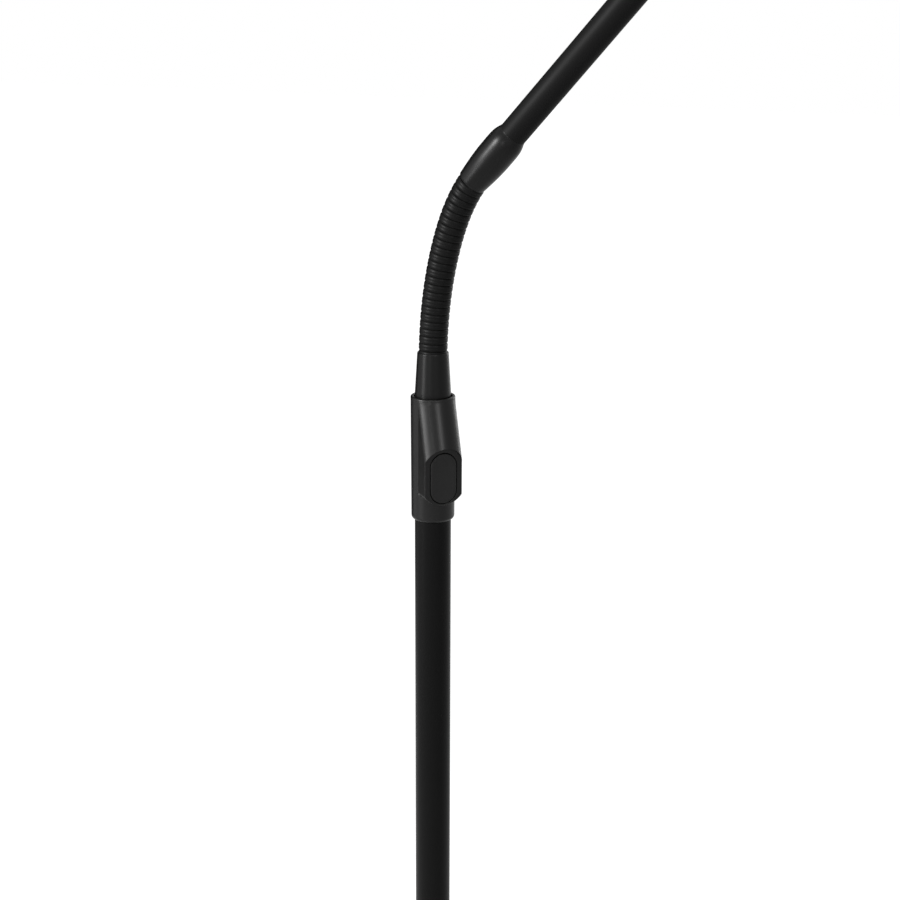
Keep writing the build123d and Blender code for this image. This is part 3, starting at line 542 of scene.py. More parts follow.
def boss_radius(angle, height, least=0.02, nearest=5.0, furthest=65.0, halvings=30):
    """Distance from the axis to the boss's skin: front and flanks, with a softly rounded corner. The front is
    met by halving an interval: a point stands inside as long as it reaches out less than the front does."""
    facing, sideways = np.maximum(np.cos(angle), least), np.abs(np.sin(angle))
    near = np.full(np.broadcast(angle, height).shape, nearest)
    far = np.full(near.shape, furthest)
    for _ in range(halvings):
        middle = (near + far) / 2
        inside = middle * facing < front_reach(np.minimum(middle * sideways, BOSS_HALF), height)
        near, far = np.where(inside, middle, near), np.where(inside, far, middle)
    flank = BOSS_HALF / np.maximum(sideways, least)
    return np.where(np.cos(angle) > 0, soft_less(near, flank, FLANK_ROUND), BOSS_HALF)


def sleeve_radius(height):
    """Radius of the sleeve, which widens slightly to its rim."""
    share = (height - HOUSING_LOW) / (HOUSING_RIM - HOUSING_LOW)
    return SLEEVE_LOW_RADIUS + (SLEEVE_RIM_RADIUS - SLEEVE_LOW_RADIUS) * share


def foot_height(across):
    """Height of the boss's rounded foot at a distance to the side: a circle through its three points."""
    across = np.minimum(np.abs(across), BOSS_HALF)
    return FOOT_LOW + FOOT_ARC - np.sqrt(FOOT_ARC**2 - across**2)


print("shoulder leans out", round(float(SHOULDER_SLOPE), 3), "mm a millimetre")

# %% Columns, evenly spaced along the section
COLUMNS, SECTION_LEVEL = 336, 840.0
fine_angles = np.linspace(-pi, pi, 7201)
section = soft_more(boss_radius(fine_angles, SECTION_LEVEL), sleeve_radius(SECTION_LEVEL), SLEEVE_ROUND)
steps = np.hypot(np.diff(section), section[:-1] * np.diff(fine_angles))
walked = np.concatenate([[0], np.cumsum(steps)])
angles = np.interp(np.arange(COLUMNS) / COLUMNS * walked[-1], walked, fine_angles)[None, :]
print("way round the housing", round(float(walked[-1]), 1), "mm")

# %% Where the boss's foot stands on the sleeve
FOOT_ROUND, FOOT_FADE = 0.7, 1.2
facing_front = np.cos(angles) > 0
low_sleeve = sleeve_radius(FOOT_LOW)
full = soft_more(boss_radius(angles, FOOT_CORNER), low_sleeve, SLEEVE_ROUND)
standing = np.clip((full - low_sleeve) / FOOT_FADE, 0, 1)
foot_round = FOOT_ROUND * standing**2 * (3 - 2 * standing)
foot_inner = np.where(facing_front, foot_height(low_sleeve * np.sin(angles)), FOOT_CORNER)
foot_outer = np.where(facing_front, foot_height(full * np.sin(angles)), FOOT_CORNER)
print("boss stands out up to", round(float((full - low_sleeve).max()), 2), "mm")


# %% Rows of the outside, from the foot to the rim
def ring_of(radius, height):
    """Points of rows that go round the pole's axis, turned to where the boss faces."""
    radius, height = np.broadcast_arrays(radius, height)
    around = np.cos(angles)[..., None] * BOSS_OUT + np.sin(angles)[..., None] * BOSS_SIDE
    return radius[..., None] * around + height[..., None] * UP


def column(values):
    """Values that run along the rows."""
    return np.asarray(values, float)[:, None]


LOW_ROUND, RIM_ROUND = 2.4, 0.8
quarter = column(np.linspace(0, pi / 2, 6))
low_radii = SLEEVE_LOW_RADIUS - LOW_ROUND * (1 - np.sin(quarter))
rows = [ring_of(low_radii, HOUSING_LOW + LOW_ROUND * (1 - np.cos(quarter)))]

climb = column(np.linspace(0.03, 1, 16))
low_heights = HOUSING_LOW + LOW_ROUND + climb * (foot_inner - HOUSING_LOW - LOW_ROUND)
rows.append(ring_of(sleeve_radius(low_heights), low_heights))

ledge = column(np.linspace(0.06, 1, 8))
ledge_radius = low_sleeve + ledge * (full - foot_round - low_sleeve)
ledge_heights = np.where(facing_front, foot_height(ledge_radius * np.sin(angles)), FOOT_CORNER)
rows.append(ring_of(ledge_radius, ledge_heights))
rounding = foot_round * (1 - np.sin(quarter[1:]))
rows.append(ring_of(full - rounding, foot_outer + foot_round * (1 - np.cos(quarter[1:]))))

skin_start = foot_outer + foot_round
climb = column(np.concatenate([np.linspace(0.004, 0.36, 30), np.linspace(0.37, 1, 72)]))
skin_heights = skin_start + climb * (HOUSING_RIM - RIM_ROUND - skin_start)
skin = soft_more(boss_radius(angles, skin_heights), sleeve_radius(skin_heights), SLEEVE_ROUND)
rows.append(ring_of(skin, skin_heights))
rim_heights = HOUSING_RIM - RIM_ROUND * (1 - np.sin(quarter[1:]))
rows.append(ring_of(skin[-1:] - RIM_ROUND * (1 - np.cos(quarter[1:])), rim_heights))
print("outside rows", sum(len(row) for row in rows))

# %% Rows of the mouth and the bore
MOUTH, MOUTH_FLOOR, BORE, LIP, BORE_BREAK = 13.0, 873.0, 12.55, 0.5, 0.6
lip_turn = np.linspace(0, pi / 2, 5)
inner = [(MOUTH + LIP * (1 - sin(a)), HOUSING_RIM - LIP * (1 - cos(a))) for a in lip_turn]
inner += [(MOUTH, HOUSING_RIM - 2 * LIP), (MOUTH, MOUTH_FLOOR), (BORE, MOUTH_FLOOR)]
inner += [(BORE, HOUSING_LOW + BORE_BREAK), (BORE + BORE_BREAK, HOUSING_LOW)]
inner = np.array(inner)
rows.append(ring_of(column(inner[:, 0]), column(inner[:, 1])))
housing_grid = np.concatenate([np.broadcast_to(row, (row.shape[0], COLUMNS, 3)) for row in rows])
print("housing grid", housing_grid.shape)

# %% [markdown]
# ### The niche, the button's window and the lever's pocket
# The arch over the panel, the oval window and the pocket for the lever are cuts in the finished skin, as
# slides and pins make them in a mould. The window's cutter flares where it leaves the panel, so the cut
# itself leaves a rounded lip, and no bevel has to be found afterwards.


# %% Shapes in the boss's own axes
BUTTON_RADIUS, BUTTON_STRAIGHT, BUTTON_LEVEL = 9.3, 8.15, 835.5


def oval(growth, columns=96):
    """Upright oval grown by a length: a circle's points, pushed up or down by half the straight length."""
    angle = (np.arange(columns) + 0.5) * 2 * pi / columns
    across = (BUTTON_RADIUS + growth) * np.cos(angle)
    up = (BUTTON_RADIUS + growth) * np.sin(angle) + BUTTON_STRAIGHT * np.sign(np.sin(angle))
    return across, up


def boss_points(out, across, up):
    """Points of the boss's own axes, outwards, sideways and up from the button's middle, in the lamp."""
    out, across, up = np.broadcast_arrays(out, across, up)
    return out[..., None] * BOSS_OUT + across[..., None] * BOSS_SIDE + (up[..., None] + BUTTON_LEVEL) * UP


def oval_grid(levels):
    """Rows of ovals, each given as (growth, distance from the pole's axis)."""
    rings = []
    for growth, out in levels:
        across, up = oval(growth)
        rings.append(boss_points(out, across, up))
    return np.array(rings)


def cut(mesh, tools):
    """The mesh with closed tools cut out of it, exactly."""
    body = new_object("cut_body", mesh)
    for tool_mesh in tools:
        tool = new_object("cut_tool", tool_mesh)
        modifier = body.modifiers.new("cut", "BOOLEAN")
        modifier.operation, modifier.solver, modifier.object = "DIFFERENCE", "EXACT", tool
        result = bpy.data.meshes.new_from_object(body.evaluated_get(bpy.context.evaluated_depsgraph_get()))
        body.modifiers.clear()
        body.data = result
        bpy.data.objects.remove(tool)
    result = body.data
    bpy.data.objects.remove(body)
    return result


# %% Cutters
CUT_START, GAP, WINDOW_ROUND = 9.0, 0.45, 0.45
flare = np.linspace(0, pi / 2, 5)[1:]
window_levels = [(GAP, CUT_START), (GAP, BOSS_REACH - 0.5)]
window_levels += [
    (GAP + WINDOW_ROUND * (1 - cos(a)), BOSS_REACH - WINDOW_ROUND * (1 - sin(a))) for a in flare
]
window_levels += [(GAP + 0.6, BOSS_REACH + 1)]
window_tool = grid_mesh("window_tool", oval_grid(window_levels), wrap_rows=False)

POCKET_HALF, POCKET_DEEP, POCKET_SHALLOW, POCKET_STEP, POCKET_TOP = 6.5, 18.4, 16.3, 13.2, 34.1
pocket = np.array([
    (CUT_START, 0.0),
    (POCKET_DEEP, 0.0),
    (POCKET_DEEP, POCKET_STEP),
    (POCKET_SHALLOW, POCKET_TOP),
    (CUT_START, POCKET_TOP),
])
pocket_sides = (-POCKET_HALF, POCKET_HALF)
pocket_grid = np.array([boss_points(pocket[:, 0], side, pocket[:, 1]) for side in pocket_sides])
pocket_tool = grid_mesh("pocket_tool", pocket_grid, wrap_rows=False)

NICHE_HALF, NICHE_BELOW, NICHE_OUT, SKIN_TAKEN = 17, 2, 36.0, 0.005
half_turn = np.arcsin(BOSS_HALF / ARCH_RADIUS)
arch_turn = np.linspace(half_turn, -half_turn, 49)
corners_across = [-NICHE_HALF, NICHE_HALF, NICHE_HALF]
corners_up = [ARCH_END - NICHE_BELOW, ARCH_END - NICHE_BELOW, ARCH_END]
arch_across = np.concatenate([corners_across, ARCH_RADIUS * np.sin(arch_turn), [-NICHE_HALF]])
arch_up = np.concatenate([corners_up, ARCH_LEVEL + ARCH_RADIUS * np.cos(arch_turn), [ARCH_END]])
niche_ends = (BOSS_REACH - SKIN_TAKEN, NICHE_OUT)
niche_grid = np.array([boss_points(out, arch_across, arch_up - BUTTON_LEVEL) for out in niche_ends])
niche_tool = grid_mesh("niche_tool", niche_grid, wrap_rows=False)
print("three cutters ready")

# %% The finished housing
housing_mesh = cut(grid_mesh("lock_shell", housing_grid), [niche_tool, window_tool, pocket_tool])
housing = add_piece("lock_shell", housing_mesh, housing_plastic)
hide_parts("lock_housing")
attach(housing, "stand")

# %% [markdown]
# ### The thumb button
# The button is an oval plate with a shallow dish and a rounded rim, on a lever that rocks on a pin inside
# the housing. Its face could be sculpted. Here it is a stack of ovals, whose growth and height follow one
# small profile, and it covers the flat plate of the CAD's lever, which stays.

# %% Button plate
FACE = BOSS_REACH + 0.25
DISH, EDGE, PLATE, PLATE_BREAK = 0.4, 0.5, 3.2, 0.2
bowl, edge_turn = np.linspace(0, 1, 16), np.linspace(0.3, pi / 2, 6)
levels = [(-BUTTON_RADIUS + (BUTTON_RADIUS - EDGE) * t, FACE - DISH * (1 - t**2.5)) for t in bowl]
levels += [(-EDGE * (1 - sin(a)), FACE - EDGE * (1 - cos(a))) for a in edge_turn]
levels += [(0, FACE - EDGE - PLATE_BREAK), (0, FACE - PLATE + PLATE_BREAK)]
levels += [(-PLATE_BREAK, FACE - PLATE), (-BUTTON_RADIUS, FACE - PLATE)]
plate = grid_mesh("thumb_button", oval_grid(levels), wrap_rows=False)
button = add_piece("thumb_button", plate, button_plastic)
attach(button, "lock_lever")

# %% [markdown]
# ## Telescoping mast and ferrules
# The inner tube slides in the pole. A tapered ferrule closes its top and holds the neck's foot, and a
# second ferrule joins the neck to the arm: it swells softly, then falls in a round shoulder that runs out
# into the arm's tube. All are turned forms again, and their soft edges are where a black part shows its
# shape.

# %% Inner tube
mast_radii = (0.3, 0.3, 0.2, 0.2)
mast = tube_piece("mast_tube", 9.5, bore=8.5, low=516.0, high=903.2, radii=mast_radii, finish=pole_coat)
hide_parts("inner_tube")
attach(mast, "mast")

# %% Lower ferrule
FERRULE_LOW, FERRULE_SHOULDER, FERRULE_TOP = 873.2, 891.2, 919.1
FERRULE_WIDE, FERRULE_NARROW, FERRULE_BORE = 12.25, 10.6, 9.55
FERRULE_MOUTH, MOUTH_DEPTH = 9.2, 7.5
ferrule_corners = [
    (FERRULE_WIDE, FERRULE_LOW),
    (FERRULE_WIDE, FERRULE_SHOULDER),
    (FERRULE_NARROW, FERRULE_TOP),
    (FERRULE_MOUTH, FERRULE_TOP),
    (FERRULE_MOUTH, FERRULE_TOP - MOUTH_DEPTH),
    (FERRULE_BORE, FERRULE_TOP - MOUTH_DEPTH),
    (FERRULE_BORE, FERRULE_LOW),
]
ferrule_radii = (0.5, 8.0, 0.7, 0.2, 0, 0, 0.2)
ferrule = lathe("lower_collar", ferrule_corners, ferrule_radii, ferrule_coat, segments=128)
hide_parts("lower_ferrule")
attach(ferrule, "mast")

# %% Upper ferrule
COLLAR_LOW, COLLAR_BREAK, COLLAR_SWELL, COLLAR_TOP = 0.3, 0.5, 25.5, 43.6
COLLAR_START, COLLAR_GROWTH, COLLAR_END, COLLAR_FALL = 9.75, 1.8, 9.29, 2.26
climb, fall = np.linspace(0, 1, 24), np.linspace(0, 1, 49)[1:]
swell_height = COLLAR_LOW + COLLAR_BREAK + climb * (COLLAR_SWELL - COLLAR_LOW - COLLAR_BREAK)
swell = np.stack([COLLAR_START + COLLAR_GROWTH * np.sin(climb * pi / 2), swell_height], axis=1)
shoulder_height = COLLAR_SWELL + fall * (COLLAR_TOP - COLLAR_SWELL)
shoulder = np.stack([COLLAR_END + COLLAR_FALL * (1 - fall**5) ** 1.5, shoulder_height], axis=1)
hollow = np.array([
    (9.27, COLLAR_TOP),
    (9.27, 21.5),
    (4.5, 21.5),
    (4.5, 8.5),
    (8.6, 3.5),
    (9.2, COLLAR_LOW + 0.05),
    (9.5, COLLAR_LOW + 0.1),
])
collar_grid = lathe_grid(np.vstack([swell, shoulder, hollow]), JOINTS[-1], ARM_ALONG, 128)
collar = add_piece("upper_collar", grid_mesh("upper_collar", collar_grid), ferrule_coat)
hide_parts("upper_ferrule")
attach(collar, "arm")

# %% Arm
arm_sizes = {"radius": 9.25, "bore": 8.25, "low": 21.6, "high": 330.0, "radii": (0.2, 0.2, 0.2, 0.2)}
tube = tube_piece("reach_tube", **arm_sizes, finish=arm_coat, origin=JOINTS[-1], along=ARM_ALONG)
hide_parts("upper_tube")
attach(tube, "arm")

# %% [markdown]
# ## The ribbed neck
# The real neck is wound from two springs, and outside it shows a row of rounded lobes with narrow grooves.
# A helix could be swept round a curve, but this neck is bent at eight joints. So it is made as eight lengths,
# each of which starts and ends in a groove and follows the bent middle line over its joint. One length is cut
# at a groove and rides in two halves, the lower on the body below its joint and the upper on the body above.
# Two lengths are set apart as turned ones, but they are made like the rest, and the other lengths stay where
# they are made, on no body.

# %% Middle line of the neck
HALF_LINK = LINK / 2
LEAN_BEFORE = np.concatenate([[0], LEANS[:-1]])
ARC_RADIUS = HALF_LINK / np.tan(BENDS / 2)


def neck_line(place):
    """Point and lean of the middle line at a distance from the first joint. Round each joint the line is an
    arc that touches both links half-way along: the lean grows evenly, and the point follows the circle."""
    number = np.clip(np.round(place / LINK).astype(int), 0, len(BENDS) - 1)
    share = np.clip((place - LINK * number) / HALF_LINK, -1, 1)
    first = LEAN_BEFORE[number]
    lean = first + (share + 1) / 2 * BENDS[number]
    start = JOINTS[number] - HALF_LINK * np.stack([np.sin(first), 0 * first, np.cos(first)], axis=-1)
    radius = ARC_RADIUS[number]
    along = np.stack([np.cos(first) - np.cos(lean), 0 * lean, np.sin(lean) - np.sin(first)], axis=-1)
    beyond = np.clip(np.abs(place - LINK * number) - HALF_LINK, 0, None) * np.sign(place - LINK * number)
    point = start + radius[..., None] * along
    return point + beyond[..., None] * np.stack([np.sin(lean), 0 * lean, np.cos(lean)], axis=-1), lean


print("arcs round the joints", ARC_RADIUS.round(0), "mm")

# %% Surface of the ribs
RIBS = 23
PITCH, BEND_REACH = 7 * LINK / RIBS, LINK / 3
CREST, GROOVE, CREASE, CREASE_WIDTH, CORE = 9.8, 8.9, 0.2, 0.2, 4.5
NECK_COLUMNS, ROWS_PER_RIB = 96, 16


def lobe(place):
    """Radius along the neck: each lobe is a flattened half oval between two grooves, less a shallow crease
    round its middle."""
    across = 2 * (place / PITCH - np.floor(place / PITCH)) - 1
    crown = (1 - np.abs(across) ** 3.0) ** 0.6
    return GROOVE + (CREST - GROOVE) * crown - CREASE * np.exp(-((across / CREASE_WIDTH) ** 2))


def neck_grid(start, end):
    """Outer rows with the lobes' radius, then inner rows back along the bore."""
    ribs = int(round((end - start) / PITCH))
    spread = (1 - np.cos(np.linspace(0, pi, ROWS_PER_RIB + 1)[:-1])) / 2
    places = start + PITCH * (np.arange(ribs)[:, None] + spread[None, :]).ravel()
    places = np.concatenate([places, [start + ribs * PITCH]])
    radius = lobe(places - start)
    back = np.linspace(places[-1], places[0], ribs * 2 + 1)
    middle, lean = neck_line(np.concatenate([places, back]))
    radius = np.concatenate([radius, np.full(len(back), CORE)])
    angle = np.arange(NECK_COLUMNS) * 2 * pi / NECK_COLUMNS
    across = np.stack([np.cos(lean), 0 * lean, -np.sin(lean)], axis=-1)
    turning = np.cos(angle)[None, :, None] * across[:, None] + np.sin(angle)[None, :, None] * SIDEWAYS
    return middle[:, None] + radius[:, None, None] * turning, radius


def ribbed_piece(name, start, end):
    """Ribbed length of the neck, with the depth of its grooves kept as an attribute for the finish."""
    grid, radius = neck_grid(start, end)
    mesh = grid_mesh(name, grid)
    depth = np.repeat(np.clip((CREST - radius) / (CREST - GROOVE), 0, 1), NECK_COLUMNS)
    groove = mesh.attributes.new("groove", "FLOAT", "POINT")
    groove.data.foreach_set("value", depth.astype(np.float32))
    return add_piece(name, mesh, neck_coat)


print("ribs stand", round(PITCH, 2), "mm apart")

# %% The neck's lengths, one cut into two halves on two bodies
NECK_BODIES = ["mast"] + [f"neck_link_{n}" for n in range(1, 8)] + ["arm"]
CUT_LENGTH, TURNED_LENGTHS, LAST, END_REACH = 1, (2, 4), 7, 1.4
groove_before = -PITCH
for number in range(LAST + 1):
    joint = LINK * number
    below, above = NECK_BODIES[number], NECK_BODIES[number + 1]
    end = joint if number == LAST else PITCH * np.floor((joint + 2 * BEND_REACH) / PITCH + 1e-6)
    name = f"ribbed_neck_{number + 1}"
    if number == CUT_LENGTH:
        cut_groove = PITCH * round(joint / PITCH)
        piece = ribbed_piece(name, groove_before, cut_groove)
        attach(piece, below)
        upper_part = ribbed_piece(name + "_upper", cut_groove, end)
        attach(upper_part, above)
    else:
        piece = ribbed_piece(name, groove_before, end)
        low = joint - (END_REACH if number == 0 else BEND_REACH)
        high = joint + (END_REACH if number == LAST else BEND_REACH)
        centres, _ = neck_line(np.array([low, high]))
        first, last = (tuple(point * MM) for point in centres)
        if number in TURNED_LENGTHS:
            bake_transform(piece)
        else:
            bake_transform(piece)
    if number < LAST:
        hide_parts(f"neck_link_{number + 1}")
    groove_before = end
print("neck length", round(LINK * LAST, 1), "mm between its first and last joint")

# %% [markdown]
# ## The head
# The head is a slim aluminium shell over a plastic frame that holds the diffuser. Its plan is a rounded
# oblong, so the shell is a stack of such outlines, drawn in step by step where the edge rounds over.

# %% Outline of the head
HEAD_START, HEAD_LENGTH, HEAD_WIDTH, HEAD_CORNER = 20.0, 262.0, 64.0, 24.0
HEAD_MIDDLE = HEAD_START + HEAD_LENGTH / 2
HEAD_ROOF, BEZEL_TOP, WALL = 8.0, -5.0, 2.0


def head_outline(inset, columns=160):
    """Rounded oblong drawn in by an inset: a quarter circle at each corner of a smaller oblong."""
    radius = max(HEAD_CORNER - inset, 0.4)
    half_long, half_wide = HEAD_LENGTH / 2 - inset - radius, HEAD_WIDTH / 2 - inset - radius
    turn = np.linspace(0, pi / 2, columns // 4)
    signs = ((1, 1), (-1, 1), (-1, -1), (1, -1))
    arcs = []
    for quarter_number, (side_x, side_y) in enumerate(signs):
        angle = turn + quarter_number * pi / 2
        along = side_x * half_long + radius * np.cos(angle)
        arcs.append(np.stack([along, side_y * half_wide + radius * np.sin(angle)], axis=1))
    return np.vstack(arcs)


def head_points(along, across, up):
    """Points of the head's own axes, from the tilt axis, in the lamp."""
    along, across, up = np.broadcast_arrays(along, across, up)
    return TILT_POINT + along[..., None] * HEAD_ALONG + across[..., None] * SIDEWAYS + up[..., None] * HEAD_UP


def head_grid(levels):
    """Rows of outlines, each given as (inset, height)."""
    rings = []
    for inset, height in levels:
        outline = head_outline(inset)
        rings.append(head_points(outline[:, 0] + HEAD_MIDDLE, outline[:, 1], height))
    return np.array(rings)


def head_box(low, high):
    """Closed box between two corners in the head's axes."""
    square = np.array([(low[0], low[1]), (high[0], low[1]), (high[0], high[1]), (low[0], high[1])])
    rings = [head_points(square[:, 0], square[:, 1], height) for height in (low[2], high[2])]
    return grid_mesh("head_tool", np.array(rings), wrap_rows=False)


print("head", HEAD_LENGTH, "by", HEAD_WIDTH, "mm")

# %% Shell
ROOF_ROUND, INNER_ROUND, FOOT_BREAK, LID_INSET = 4.6, 3.0, 0.25, 23.0
shell_levels = [
    (FOOT_BREAK, BEZEL_TOP),
    (0.0, BEZEL_TOP + FOOT_BREAK),
    (0.0, BEZEL_TOP + 0.6),
    (0.0, HEAD_ROOF - ROOF_ROUND - 0.4),
]
roof_turn, inner_turn = np.linspace(0, pi / 2, 9), np.linspace(0, pi / 2, 5)
shell_levels += [(ROOF_ROUND * (1 - cos(a)), HEAD_ROOF - ROOF_ROUND * (1 - sin(a))) for a in roof_turn]
shell_levels += [(ROOF_ROUND + 1.0, HEAD_ROOF), (LID_INSET, HEAD_ROOF)]
ceiling = HEAD_ROOF - WALL
inside_levels = [(LID_INSET, ceiling), (WALL + INNER_ROUND + 0.6, ceiling)]
inside_levels += [
    (WALL + INNER_ROUND * (1 - sin(a)), ceiling - INNER_ROUND * (1 - cos(a))) for a in inner_turn
]
inside_levels += [(WALL, BEZEL_TOP)]
outer_grid, inner_grid = head_grid(shell_levels), head_grid(inside_levels)
outer_rows, columns = outer_grid.shape[:2]
inner_rows = inner_grid.shape[0]
shell_grid = np.concatenate([outer_grid, inner_grid])
outer_faces = grid_faces(outer_rows, columns, False)
inner_faces = grid_faces(inner_rows, columns, False) + outer_rows * columns
first, last = np.arange(columns), np.arange(columns) + (outer_rows + inner_rows - 1) * columns
edge_faces = np.stack([last, np.roll(last, -1), np.roll(first, -1), first], axis=1)
faces = np.vstack([outer_faces, inner_faces, edge_faces])
lids = [range((row - 1) * columns, row * columns) for row in (outer_rows, outer_rows + 1)]
shell_mesh = make_mesh("lamp_hood", shell_grid.reshape(-1, 3) * MM, faces, lids)
print("shell of", len(faces), "faces")

# %% Its slot for the tongue and its hole for the key
SLOT_REACH, SLOT_HALF_WIDTH, SLOT_HALF_HEIGHT = 3, 3.7, 4.2
slot_low = (HEAD_START - SLOT_REACH, -SLOT_HALF_WIDTH, -SLOT_HALF_HEIGHT)
slot_tool = head_box(slot_low, (HEAD_START + SLOT_REACH, SLOT_HALF_WIDTH, SLOT_HALF_HEIGHT))
key_low, key_high = (np.array([v.x, v.y, v.z]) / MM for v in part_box("power_key"))
KEY_PLACE = ((key_low + key_high) / 2 - TILT_POINT) @ HEAD_ALONG
key_profile = np.array([
    (7.3, ceiling - 2.0),
    (7.3, HEAD_ROOF - 0.35),
    (7.4, HEAD_ROOF - 0.1),
    (7.65, HEAD_ROOF),
    (8.0, HEAD_ROOF + 1.0),
])
key_grid = lathe_grid(key_profile, TILT_POINT + KEY_PLACE * HEAD_ALONG, HEAD_UP, 64)
key_tool = grid_mesh("key_tool", key_grid, wrap_rows=False)
hood_mesh = cut(shell_mesh, [slot_tool, key_tool])
hood = add_piece("lamp_hood", hood_mesh, arm_coat)
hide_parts("head_shell")
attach(hood, "head")
print("key stands", round(float(KEY_PLACE), 3), "mm from the tilt axis")

# %% [markdown]
# ### Pieces that stay as the CAD drew them
# The knuckle, the tongue, the frame round the diffuser and the inlet are right in shape, but a CAD mesh has
# knife edges, and no real edge is that sharp. They could be drawn again by hand. It is quicker to copy the
# mesh, join its triangles into flat faces, and let a Bevel modifier break the edges.


# %% Copies with broken edges
KNIFE_EDGE, FLAT, SAME_POINT = radians(30), radians(0.5), 2e-6


def refined(name, node, body, slot, width_mm=0.3):
    """Copy of a CAD node: points merged, flat triangles joined, and every edge over 30 degrees bevelled."""
    mesh = frame["nodes"][node].data.copy()
    shape = bmesh.new()
    shape.from_mesh(mesh)
    bmesh.ops.remove_doubles(shape, verts=shape.verts, dist=SAME_POINT)
    bmesh.ops.dissolve_limit(shape, angle_limit=FLAT, verts=shape.verts, edges=shape.edges)
    shape.to_mesh(mesh)
    shape.free()
    piece = add_piece(name, mesh, FINISH_OF_SLOT[slot])
    bevel = piece.modifiers.new("broken_edges", "BEVEL")
    bevel.width, bevel.segments, bevel.limit_method = width_mm * MM, 2, "ANGLE"
    bevel.angle_limit, bevel.harden_normals, bevel.use_clamp_overlap = KNIFE_EDGE, True, True
    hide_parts(node)
    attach(piece, body)


refined("knuckle", "knuckle_fork", "arm", "black_steel")
refined("tongue", "head_tongue", "head", "black_steel")
refined("diffuser_frame", "head_bezel", "head", "black_plastic", 0.4)
refined("inlet", "power_inlet", "stand", "black_plastic", 0.25)
refined("pivot_bolt", "knuckle_bolt", "arm", "bright_steel", 0.2)
refined("pivot_nut", "knuckle_nut", "arm", "bright_steel", 0.2)
refined("touch_key", "power_key", "key", "button_plastic", 0.25)
refined("light_plate", "diffuser", "head", "diffuser_plastic", 0.25)

# %% [markdown]
# ## Camera
# The photograph looks slightly down on the middle of the lamp from about a metre away. The way the pole
# narrows downwards gives the distance, and the ellipse at the housing's mouth gives the tilt.

# %% Camera
VIEW_TURN, VIEW_PITCH, VIEW_ROLL = radians(28), radians(16), radians(0.2)
CAMERA_PLACE, LENS, SENSOR = Vector((0.50405, -0.92317, 1.152)), 64.0, 36.0
look = Vector((-sin(VIEW_TURN) * cos(VIEW_PITCH), cos(VIEW_TURN) * cos(VIEW_PITCH), -sin(VIEW_PITCH)))
camera_data = bpy.data.cameras.new("camera")
camera_data.sensor_width, camera_data.lens = SENSOR, LENS
camera_data.clip_start, camera_data.clip_end = 0.05, 60.0
camera = new_object("camera", camera_data)
camera.location = CAMERA_PLACE
camera.rotation_euler = (look.to_track_quat("-Z", "Y") @ Quaternion((0, 0, 1), VIEW_ROLL)).to_euler()
bpy.context.scene.camera = camera
bpy.context.scene.view_settings.view_transform = "Standard"
print("camera looks along", [round(v, 3) for v in look])

# %% [markdown]
# ## Lamps
# The gloss on the black parts tells where the photograph's lamps stood. A strong one high at the left lights
# the leaning shoulder and leaves one spot on the upper ferrule. A low one beside it draws the line down the
# upright parts, one at the right draws the shoulder's second band, and the rest fill in. One broad lamp
# would be simpler, but its gloss would have the wrong shape.


# %% Lamps
TARGET = Vector((0.0, 0.0, 0.9))


def add_lamp(name, place, width, height, power):
    """Rectangular soft light that faces the middle of the lamp."""
    data = bpy.data.lights.new(name, "AREA")
    data.shape, data.size, data.size_y, data.energy = "RECTANGLE", width, height, power
    lamp = new_object(name, data)
    lamp.location = place
    lamp.rotation_euler = (TARGET - Vector(place)).to_track_quat("-Z", "Y").to_euler()


add_lamp("left_light", (-1.28, -1.7, 1.62), 0.5, 0.5, 112)
add_lamp("low_light", (-1.32, -1.76, 0.7), 0.35, 0.5, 14)
add_lamp("front_light", (0.25, -2.28, 1.1), 0.35, 0.35, 7)
add_lamp("right_light", (1.69, -1.42, 1.63), 0.3, 0.5, 17)
add_lamp("back_light", (0.5, 2.1, 1.3), 0.5, 1.5, 14)
add_lamp("top_light", (0.2, -0.2, 3.0), 1.2, 1.2, 26)
print("lamps", len(bpy.data.lights))

# %% [markdown]
# ## World, floor and card
# The photograph's background is plain white, without a line of a floor. A studio gets that from a lit sheet
# that curves up behind the object. Here the world is white where the camera or a reflection looks, and
# lights the lamp at about half of that. The floor glows where it is looked at, but less near the base, so
# the shadow stays. A black card, seen by reflections alone, keeps the left edges of the black parts dark.


# %% World
WORLD_LIGHT, WORLD_SEEN = 0.55, 1.0


def looking_rays(finish):
    """1 for a ray from the camera, off a gloss or through glass, and 0 for any other: one minus the product
    of one minus each."""
    others = 1 - finish.node("ShaderNodeLightPath", output="Is Camera Ray")
    for kind in ("Is Glossy Ray", "Is Transmission Ray"):
        others = others * (1 - finish.node("ShaderNodeLightPath", output=kind))
    return 1 - others


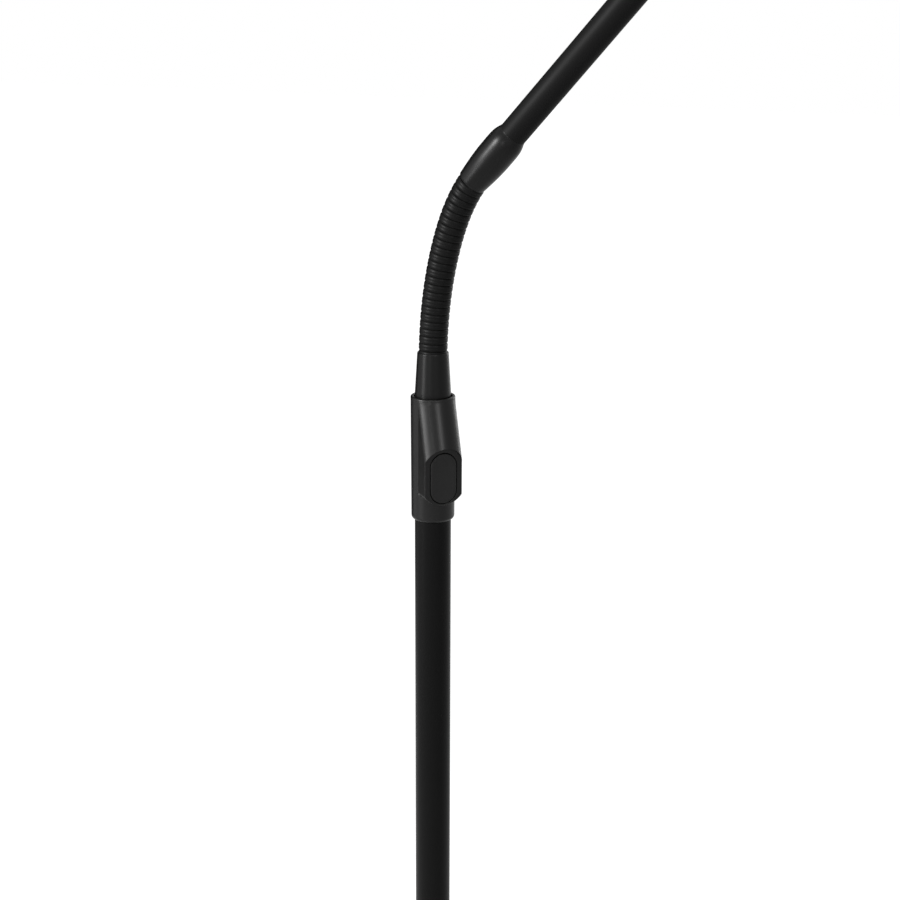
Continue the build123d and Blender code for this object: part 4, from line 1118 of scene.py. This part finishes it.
studio = Finish("studio", bpy.data.worlds)
strength = WORLD_LIGHT + (WORLD_SEEN - WORLD_LIGHT) * looking_rays(studio)
background = studio.node("ShaderNodeBackground", {}, {"Color": grey(1.0), "Strength": strength})
bpy.context.scene.world = studio.end(background, "ShaderNodeOutputWorld")
print("world made")


# %% Floor and card
def flat_sheet(name, corners, finish):
    """Flat sheet for the stage, from its four corners in metres."""
    mesh = bpy.data.meshes.new(name)
    mesh.from_pydata(corners, [], [(0, 1, 2, 3)])
    mesh.materials.append(finish)
    sheet = new_object(name, mesh)
    return sheet


FLOOR_HALF, FLOOR_GLOW = 15.0, 1.1
GLOW_START, GLOW_FULL, GLOW_LEAST = 0.4, 1.5, 0.3
floor_finish = Finish("pale_floor")
dull = floor_finish.node("ShaderNodeBsdfDiffuse", {}, {"Color": grey(0.8)})
lit = floor_finish.node("ShaderNodeEmission", {}, {"Color": grey(1.0), "Strength": FLOOR_GLOW})
away = floor_finish.node("ShaderNodeVectorMath", {"operation": "LENGTH"}, {0: floor_finish.place()}, "Value")
reach = {"Value": away, "From Min": GLOW_START, "From Max": GLOW_FULL, "To Min": GLOW_LEAST}
glow = floor_finish.node("ShaderNodeMapRange", {}, reach)
share = looking_rays(floor_finish) * glow
floor_paint = floor_finish.end(floor_finish.node("ShaderNodeMixShader", {}, {0: share, 1: dull, 2: lit}))
floor_signs = ((-1, -1), (1, -1), (1, 1), (-1, 1))
floor = flat_sheet("floor", [(x * FLOOR_HALF, y * FLOOR_HALF, 0) for x, y in floor_signs], floor_paint)

card_finish = Finish("dark_card")
card_paint = card_finish.end(card_finish.node("ShaderNodeBsdfDiffuse", {}, {"Color": grey(0.0)}))
CARD_NEAR, CARD_FAR, CARD_HEIGHT = (-2.2, 0.1), (-1.05, 1.92), 2.6
card_corners = [(*CARD_NEAR, 0), (*CARD_FAR, 0), (*CARD_FAR, CARD_HEIGHT), (*CARD_NEAR, CARD_HEIGHT)]
flag = flat_sheet("dark_card", card_corners, card_paint)
flag.visible_camera = flag.visible_diffuse = flag.visible_shadow = flag.visible_transmission = False
print("floor and card made")
